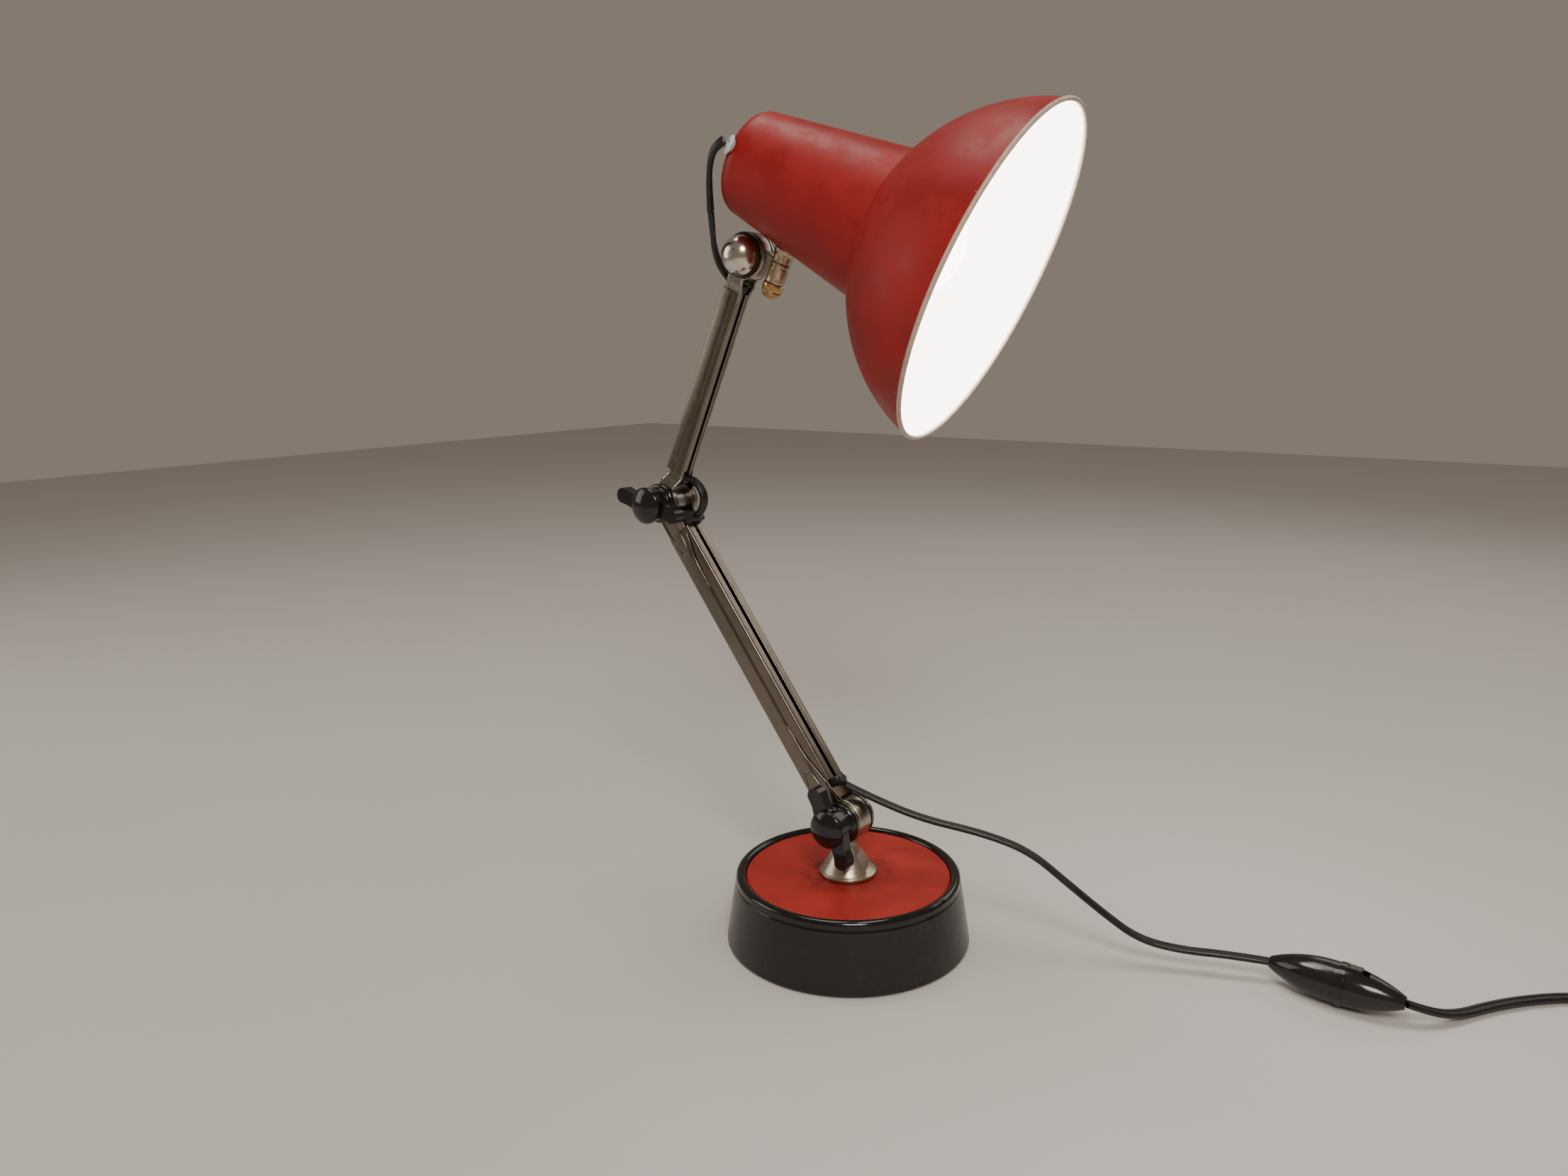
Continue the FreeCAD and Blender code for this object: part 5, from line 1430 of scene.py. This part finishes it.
@dataclass
class HandKnob:
    """Moulded hand knob: skirt, waist, domed cap and, on the winged kind, two swept wings."""

    wings: Wings = Wings.TWO
    height: float = 17.6 * MM
    cap: float = 10.8 * MM
    waist: float = 9.6 * MM
    skirt: float = 11.8 * MM
    dome: float = 3.4 * MM
    reach: float = 24.2 * MM
    tip: float = 4.6 * MM
    wing_seat: float = 5.6 * MM
    wing_thick: float = 6.0 * MM

    def body(self, blank: Blank, where: Matrix) -> None:
        """Turn the body about its axis, crown up.

        Args:
            blank: the mesh being made.
            where: placement of the knob, its axis along local Z.
        """
        height = self.height
        rim = height - self.dome
        ball = (self.cap ** 2 + self.dome ** 2) / (2 * self.dome)
        crown = []
        for k in range(11):
            radius = self.cap * 0.95 * (1 - k / 10)
            crown.append((radius, height - ball + math.sqrt(ball ** 2 - radius ** 2)))
        lower = [(3.2 * MM, 0.0), (self.skirt - 0.4 * MM, 0.0), (self.skirt, 0.7 * MM),
                 (self.skirt, 2.2 * MM),
                 (self.skirt - 0.7 * MM, 3.0 * MM), (self.waist + 0.3 * MM, 3.3 * MM), (self.waist, 4.2 * MM),
                 (self.waist, rim - 3.6 * MM), (self.waist + 0.2 * MM, rim - 2.9 * MM),
                 (self.cap - 0.2 * MM, rim - 2.5 * MM), (self.cap, rim - 1.9 * MM),
                 (self.cap, rim - 0.3 * MM)]
        blank.lathe(soften(lower, 0.35 * MM, 3) + crown, where, segments=SMOOTH)

    def wing(self, blank: Blank, where: Matrix, turn: float) -> None:
        """Mould one wing: it leaves the waist along a tangent and ends in a thumb-sized tip.

        Args:
            blank: the mesh being made.
            where: placement of the knob.
            turn: the wing's direction in degrees.
        """
        tip_x = self.reach - self.tip
        start = self.waist * 0.98
        top = [(0.0, start), (start * 0.55, start * 0.86), (tip_x * 0.72, self.tip * 1.08)]
        nose = arc_points((tip_x, 0.0), self.tip, 78, -86, 12)
        bottom = [(tip_x * 0.74, -self.tip * 0.74), (start * 0.86, -self.tip * 0.92),
                  (start * 0.30, -start * 0.92), (0.0, -start)]
        outline = soften(top + nose + bottom, 2.2 * MM, 3)
        spin = where @ Matrix.Rotation(math.radians(-turn), 4, "Z") @ ACROSS
        lobe = Blank()
        lobe.prism(outline, -self.wing_seat - self.wing_thick, -self.wing_seat, edge=1.5 * MM)
        made: Dict[bmesh.types.BMVert, bmesh.types.BMVert] = {}
        for vertex in lobe.bm.verts:
            point = vertex.co.copy()
            share = max(0.0, min(1.0, (point.x - start * 0.8) / (tip_x - start * 0.8)))
            point.y -= 1.3 * MM * share ** 2 * (1 if point.y < -self.wing_seat - self.wing_thick / 2 else 0.2)
            made[vertex] = blank.bm.verts.new(spin @ Vector((point.x, point.y, point.z)))
        for old in lobe.bm.faces:
            blank.face([made[v] for v in old.verts])
        lobe.bm.free()

    def build(self, name: str, seat: Vector, facing: Vector, turn: float, body: str, node: str) -> None:
        """Make the knob in its place.

        Args:
            name: the piece's name.
            seat: the middle of its seat.
            facing: the way its crown faces.
            turn: direction of its first wing in degrees.
            body: the CAD body it rides on.
            node: the CAD node it replaces.
        """
        upright = axes_at(seat, Vector((1, 0, 0)), facing)
        blank = Blank()
        self.body(blank, Matrix())
        for step in range(self.wings.value):
            self.wing(blank, Matrix(), turn + 180 * step)
        place(blank, name, [Stock.KNOB], body, upright, [node], sharp=50)
        dress({node + "_insert": Stock.BRASS})


@dataclass
class Head:
    """Cast bracket with its hub, web and barrel, and the chromed dome on the hinge bolt."""

    hub: float = 12.8 * MM
    hub_half: float = 4.2 * MM
    web_half: float = 2.6 * MM
    barrel: float = 5.3 * MM
    barrel_low: float = -5.9 * MM
    barrel_top: float = 5.7 * MM
    dome: float = 10.9 * MM
    dome_seat: float = 7.3 * MM

    def bracket(self, places: Places) -> None:
        """Cast the bracket in one piece, a seam round the top of its barrel.

        Args:
            places: the lamp's frames.
        """
        blank = Blank()
        rim = 0.8 * MM
        hub = [(0.0, -self.hub_half), (self.hub - rim, -self.hub_half), (self.hub, -self.hub_half + rim),
               (self.hub, self.hub_half - rim), (self.hub - rim, self.hub_half), (0.0, self.hub_half)]
        blank.lathe(soften(hub, 0.5 * MM, 4), ACROSS, segments=SMOOTH)
        offset = places.barrel_offset
        web = soften([(2 * MM, 9.6 * MM), (offset, self.barrel_top - 0.6 * MM),
                      (offset, self.barrel_low + 2.6 * MM),
                      (2 * MM, -10.6 * MM)], 0.8 * MM, 3, closed=True)
        blank.prism(web, -self.web_half, self.web_half, edge=0.9 * MM)
        seam = self.barrel_top - 2.4 * MM
        tube = [(0.0, self.barrel_low), (self.barrel - 0.5 * MM, self.barrel_low),
                (self.barrel, self.barrel_low + 0.5 * MM),
                (self.barrel, seam - 0.3 * MM), (self.barrel - 0.35 * MM, seam),
                (self.barrel, seam + 0.3 * MM),
                (self.barrel, self.barrel_top - 0.4 * MM), (self.barrel - 0.5 * MM, self.barrel_top),
                (0.0, self.barrel_top)]
        blank.lathe(soften(tube, 0.25 * MM, 3), Matrix.Translation((offset, 0, 0)), segments=SMALL, finish=1)
        place(blank, "cast_bracket", [Stock.CAST, Stock.BARREL], "head", places.bracket, ["head_bracket"],
              sharp=50)

    def bolt(self, places: Places) -> None:
        """Turn the domed bolt, crown towards the knobs' side.

        Args:
            places: the lamp's frames.
        """
        blank = Blank()
        across = Matrix.Rotation(math.radians(90), 4, "X")
        crown = self.dome_seat - 0.4 * MM
        profile = [(0.0, self.dome_seat - 0.2 * MM), (self.dome - 0.3 * MM, self.dome_seat - 0.2 * MM)]
        for step in range(1, 25):
            turn = math.radians(90 * step / 24)
            profile.append((self.dome * math.cos(turn - math.radians(90) / 24),
                            crown + self.dome * math.sin(turn)))
        profile.append((0.0, crown + self.dome))
        blank.lathe(profile, across, segments=SMOOTH)
        end = -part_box("head_bolt")[1].y
        shaft = [(0.0, end), (3.0 * MM, end), (3.0 * MM, self.dome_seat), (0.0, self.dome_seat)]
        blank.lathe(soften(shaft, 0.3 * MM, 3), across, segments=40)
        place(blank, "domed_bolt", [Stock.CHROME], "head", places.bracket, ["head_bolt"], sharp=50)

    def build(self, places: Places) -> None:
        """Make the head.

        Args:
            places: the lamp's frames.
        """
        self.bracket(places)
        self.bolt(places)
        dress({"head_washers": Stock.FIBRE})


@dataclass
class Shade:
    """Spun bell shade: tapered neck with a rounded closed end, flared dish and a rolled rim."""

    neck: float = 32.7 * MM
    slope: float = 0.151
    back: float = -40.2 * MM
    corner: float = 9.0 * MM
    junction: float = 50.9 * MM
    rim_x: float = 111.6 * MM
    rim: float = 88.4 * MM
    sag: float = 8.4 * MM
    wall: float = 1.0 * MM
    bead: float = 1.2 * MM

    def neck_at(self, x: float) -> float:
        """Return the neck's outer radius at a station on the shade's axis."""
        return self.neck + self.slope * x

    def dish(self, inset: float) -> List[Point2]:
        """Return the dish's arc from the neck to the rim as (radius, station)."""
        start = Vector((self.junction + inset, self.neck_at(self.junction) - inset))
        end = Vector((self.rim_x, self.rim - inset))
        chord = end - start
        outward = Vector((-chord.y, chord.x)).normalized()
        radius = (chord.length ** 2 / 4 + self.sag ** 2) / (2 * self.sag)
        centre = (start + end) / 2 + outward * (self.sag - radius)
        first = math.atan2(start.y - centre.y, start.x - centre.x)
        last = math.atan2(end.y - centre.y, end.x - centre.x)
        turns = [first + (last - first) * k / 28 for k in range(29)]
        return [(centre.y + radius * math.sin(t), centre.x + radius * math.cos(t)) for t in turns]

    def skin(self, inset: float) -> List[Point2]:
        """Return one skin's profile from the closed end to the rim as (radius, station)."""
        reach = self.corner - inset
        shoulder = self.neck_at(self.back + self.corner) - inset
        back = self.back + inset
        profile = [((shoulder - reach) * k / 4, back) for k in range(4)]
        for step in range(9):
            turn = math.radians(90 * step / 8)
            profile.append((shoulder - reach + reach * math.sin(turn), back + reach * (1 - math.cos(turn))))
        for step in range(1, 12):
            station = self.back + self.corner + (self.junction - self.back - self.corner) * step / 12
            profile.append((self.neck_at(station) - inset, station))
        return profile + self.dish(inset)

    def shell(self, places: Places) -> None:
        """Spin the two skins and roll the rim.

        Args:
            places: the lamp's frames.
        """
        along_x = Matrix.Rotation(math.radians(90), 4, "Y")
        blank = Blank()
        blank.lathe(self.skin(0.0), along_x, segments=FINE)
        blank.lathe(self.skin(self.wall)[::-1], along_x, segments=FINE, finish=1)
        middle = self.rim - self.wall / 2
        ring = arc_points((middle, self.rim_x), self.bead, 0, 360, 16)
        blank.lathe(ring, along_x, segments=FINE, finish=2)
        # The inner skin gets the white paint with its painted glow.
        shell = place(blank, "spun_shade", [Stock.RED, Stock.WHITE_PAINTED_GLOW, Stock.RIM], "shade", places.swivel,
                      ["shade_shell"])
        edge = self.rim_x - 3.2 * MM
        mark(shell, "wear", lambda p: 0.46 if p.x > edge else 0.22 if p.x < self.back + 4 * MM else 0.0)
        mark(shell, "scuff", lambda p: 0.62 if p.x < self.back + 26 * MM else 0.5)

    def fittings(self, places: Places) -> None:
        """Turn the collar over the barrel, the domed nut under it and the lead's grommet.

        Args:
            places: the lamp's frames.
        """
        drop = -places.shade_rise
        top = drop + 5.8 * MM
        collar = [(0.0, top), (4.9 * MM, top), (5.3 * MM, top + 0.4 * MM), (5.3 * MM, top + 4 * MM),
                  (5.9 * MM, top + 5.6 * MM),
                  (6.2 * MM, -self.neck - 0.2 * MM), (5.2 * MM, -self.neck + 0.5 * MM),
                  (0.0, -self.neck + 0.5 * MM)]
        place(Blank().lathe(soften(collar, 0.4 * MM, 4), segments=SMALL), "barrel_collar", [Stock.BARREL],
              "shade",
              places.swivel, ["swivel_collar"])
        seat = drop - 6.0 * MM
        nut = [(0.0, seat), (5.4 * MM, seat), (5.8 * MM, seat - 0.4 * MM), (5.8 * MM, seat - 3.6 * MM),
               (5.3 * MM, seat - 4.2 * MM)]
        nut += [(5.5 * MM * math.cos(t), seat - 4.6 * MM - 4.15 * MM * math.sin(t))
                for t in [math.radians(90 * k / 12) for k in range(12)]]
        nut.append((0.0, seat - 8.75 * MM))
        place(Blank().lathe(nut, segments=SMALL), "domed_nut", [Stock.BRASS], "shade", places.swivel,
              ["swivel_cap_nut"])
        angle = math.radians(-74.0)
        radial = Vector((0, math.sin(angle), math.cos(angle)))
        lean = (radial * 0.66 + Vector((-0.75, 0, 0))).normalized()
        centre = Vector((self.back + self.corner, 0,
                         0)) + radial * (self.neck_at(self.back + self.corner) - self.corner)
        spot = along(centre + lean * (self.corner - self.wall), lean)
        lips = [(2.4 * MM, 3.0 * MM), (3.0 * MM, 3.2 * MM), (5.0 * MM, 2.7 * MM), (5.4 * MM, 2.0 * MM),
                (5.2 * MM, 1.3 * MM),
                (3.9 * MM, 1.1 * MM), (3.9 * MM, -1.6 * MM), (5.0 * MM, -1.8 * MM), (4.8 * MM, -2.8 * MM),
                (2.4 * MM, -2.9 * MM)]
        place(Blank().lathe(soften(lips, 0.5 * MM, 4, closed=True) + [(2.4 * MM, 3.0 * MM)], segments=56),
              "lead_bush",
              [Stock.GROMMET], "shade", places.swivel @ spot, ["lead_grommet"])

    def build(self, places: Places) -> None:
        """Make the shade and finish what is inside it.

        Args:
            places: the lamp's frames.
        """
        self.shell(places)
        self.fittings(places)
        dress({"swivel_stud": Stock.STEEL, "swivel_clamp": Stock.STEEL, "holder_bracket": Stock.STEEL,
               "lampholder_shell": Stock.CERAMIC, "holder_nipple": Stock.STEEL,
               "holder_insert": Stock.CERAMIC,
               "holder_thread": Stock.BRASS, "bulb_cap": Stock.STEEL, "bulb_glass": Stock.GLASS})


# ---------------------------------------------------------------- lead
class Lay(Enum):
    LOOSE = "loose"
    HANGING = "hanging"
    COILED = "coiled"


ELBOW_ROUTE = [
    (-0.1210, 0.0, 0.2608), (-0.1150, 0.0, 0.2589), (-0.1098, 0.0, 0.2574), (-0.1042, 0.0, 0.2530),
    (-0.1024, 0.0, 0.2460), (-0.1054, 0.0, 0.2394), (-0.1104, 0.0, 0.2362), (-0.1156, 0.0, 0.2332),
]
HEAD_ROUTE_SHADE = [
    (-0.0546, -0.0330, 0.4392), (-0.0596, -0.0340, 0.4368), (-0.0640, -0.0328, 0.4318),
                    (-0.0676, -0.0302, 0.4244),
    (-0.0704, -0.0270, 0.4158), (-0.0727, -0.0236, 0.4063),
]
HEAD_ROUTE_ARM = [
    (-0.0727, -0.0236, 0.4063), (-0.0750, -0.0198, 0.3972), (-0.0786, -0.0146, 0.3886),
                  (-0.0816, -0.0074, 0.3806),
    (-0.0804, -0.0012, 0.3736), (-0.0754, 0.0, 0.3686),
]
MAINS_ROUTE = [
    (-0.0016, 0.0004, 0.0912), (0.0120, 0.0076, 0.0838), (0.0380, 0.0186, 0.0740), (0.0680, 0.0304, 0.0694),
    (0.0930, 0.0406, 0.0614), (0.1120, 0.0486, 0.0450), (0.1310, 0.0564, 0.0290), (0.1490, 0.0638, 0.0156),
    (0.1700, 0.0726, 0.0120), (0.1920, 0.0814, 0.0126), (0.2117, 0.0893, 0.0115),
]
TAIL_ROUTE = [
    (0.2775, 0.0871, 0.0115), (0.2890, 0.0950, 0.0064), (0.2990, 0.1080, 0.0029), (0.3100, 0.1260, 0.0026),
    (0.3250, 0.1446, 0.0026), (0.3430, 0.1610, 0.0026), (0.3570, 0.1670, 0.0026), (0.3610, 0.1790, 0.0020),
]
PLUG_ROUTE = [(0.4040, 0.2376, 0.0074), (0.4200, 0.2380, 0.0080), (0.4370, 0.2320, 0.0110),
              (0.4500, 0.2210, 0.0136)]


@dataclass
class Coil:
    """Neat round coil of flat flex, two turns wide."""

    centre: Point2 = (0.395, 0.196)
    inner: float = 29.8 * MM
    outer: float = 36.0 * MM
    layer: float = 3.1 * MM
    lowest: float = 1.75 * MM
    start: float = 186.0
    turns: float = 6.25
    points_per_turn: int = 16

    def points(self) -> List[Tuple[float, float, float]]:
        """Return the points of its turns, wound clockwise and upwards."""
        slots = [(self.outer, 0), (self.inner, 0), (self.inner, 1), (self.outer, 1), (self.outer, 2),
                 (self.inner, 2),
                 (self.outer, 2.9)]
        result = []
        count = int(self.turns * self.points_per_turn)
        for step in range(count + 1):
            turned = step / self.points_per_turn
            now = int(turned)
            share = max(0.0, (turned - now - 0.75) / 0.25)
            after = slots[min(now + 1, len(slots) - 1)]
            radius = slots[now][0] + (after[0] - slots[now][0]) * share
            height = self.lowest + self.layer * (slots[now][1] + (after[1] - slots[now][1]) * share)
            angle = math.radians(self.start - 360.0 * turned)
            result.append((self.centre[0] + radius * math.cos(angle),
                           self.centre[1] + radius * math.sin(angle), height))
        return result


@dataclass
class Lead:
    """Flat twin flex, its two cores side by side with a groove between them."""

    width: float = 6.0 * MM
    lobe: float = 1.55 * MM

    def spline(self, name: str, route: Sequence[Sequence[float]]) -> List[Vector]:
        """Lay a smooth spline over a route and read its line.

        Args:
            name: the stretch's name.
            route: control points, in metres.

        Returns:
            Points along the spline.
        """
        data = bpy.data.curves.new(name + "_line", "CURVE")
        data.dimensions = "3D"
        data.resolution_u = 8
        line = data.splines.new("NURBS")
        line.points.add(len(route) - 1)
        for point, spot in zip(line.points, route):
            point.co = (*spot, 1.0)
        line.order_u = 3
        line.use_endpoint_u = True
        holder = bpy.data.objects.new(name + "_line", data)
        read = bpy.data.meshes.new_from_object(holder)
        spots = [vertex.co.copy() for vertex in read.vertices]
        bpy.data.meshes.remove(read)
        bpy.data.objects.remove(holder)
        bpy.data.curves.remove(data)
        return spots

    def section(self) -> List[Point2]:
        """Return the two joined lobes (side, up)."""
        off = self.width / 2 - self.lobe
        right = arc_points((off, 0.0), self.lobe, -140, 140, 14)
        left = arc_points((-off, 0.0), self.lobe, 40, 320, 14)
        return right + left

    def lay(self, name: str, route: Sequence[Sequence[float]], nodes: Sequence[str],
            body: str = "", up: Vector = Vector((0, 0, 1)), twist: float = 0.0) -> bpy.types.Object:
        """Lay one stretch of the lead.

        Args:
            name: the piece's name.
            route: its control points, from its exit on.
            nodes: CAD nodes it replaces.
            body: the body it rides on, or nothing to leave it unparented.
            up: where the flat side faces at its start.
            twist: turn along its length in radians.

        Returns:
            The lead's mesh.
        """
        spots = self.spline(name, route)
        blank = Blank().sweep(spots, self.section(), up=up, twist=lambda share: twist * share)
        piece = place(blank, name, [Stock.FLEX], body, stands_for=nodes, sharp=60)
        return piece

    def build(self) -> None:
        """Lay every stretch of the lead that shows."""
        mains = self.lay("mains_flex", MAINS_ROUTE, ["mains_lead"])
        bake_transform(mains)
        rest = TAIL_ROUTE + Coil().points() + PLUG_ROUTE
        self.lay("coiled_flex", rest,
                 ["mains_lead_tail", "lead_coil", "mains_lead_end"], "foot")
        elbow = self.lay("elbow_flex", ELBOW_ROUTE, ["elbow_lead"], up=Vector((0, 0, 1)))
        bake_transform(elbow)
        shade = self.lay("shade_flex", HEAD_ROUTE_SHADE, ["head_lead_shade"],
                         up=Vector((-0.3, -0.8, 0.3)), twist=0.5)
        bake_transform(shade)
        arm = self.lay("head_flex", HEAD_ROUTE_ARM, ["head_lead_arm"],
                       up=Vector((-0.6, -0.8, 0.0)), twist=0.5)
        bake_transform(arm)
        dress({"switch_shell_lamp_side": Stock.SWITCH, "switch_shell_plug_side": Stock.SWITCH,
               "switch_slider": Stock.SLIDER, "plug_body": Stock.PLUG, "plug_pins": Stock.BRASS})


# ---------------------------------------------------------------- the lamp
def knobs(places: Places) -> None:
    """Fit the three knobs.

    Args:
        places: the lamp's frames.
    """
    near = Vector((0, -1, 0))
    rows = (("base", places.hinge, 1, near, BASE_WING, Wings.TWO),
            ("elbow", places.elbow, 1, near, ELBOW_WING, Wings.TWO),
            ("head", places.head, 0, -near, 0, Wings.NONE))
    for part, hinge, side, facing, turn, wings in rows:
        node = part + "_knob"
        seat = Vector((hinge.x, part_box(node)[side].y, hinge.z))
        HandKnob(wings=wings).build(part + "_hand_knob", seat, facing, turn, node, node)


def main() -> None:
    """Set the studio up, lay the lead and make the lamp."""
    logging.basicConfig(level=logging.INFO, format="%(message)s")
    Studio().build()
    places = Places()
    Lead().build()
    WeightedBase().build()
    Foot().build(places)
    LowerArm().build(places)
    UpperArm().build(places)
    knobs(places)
    Head().build(places)
    Shade().build(places)


if __name__ == "__main__":
    main()
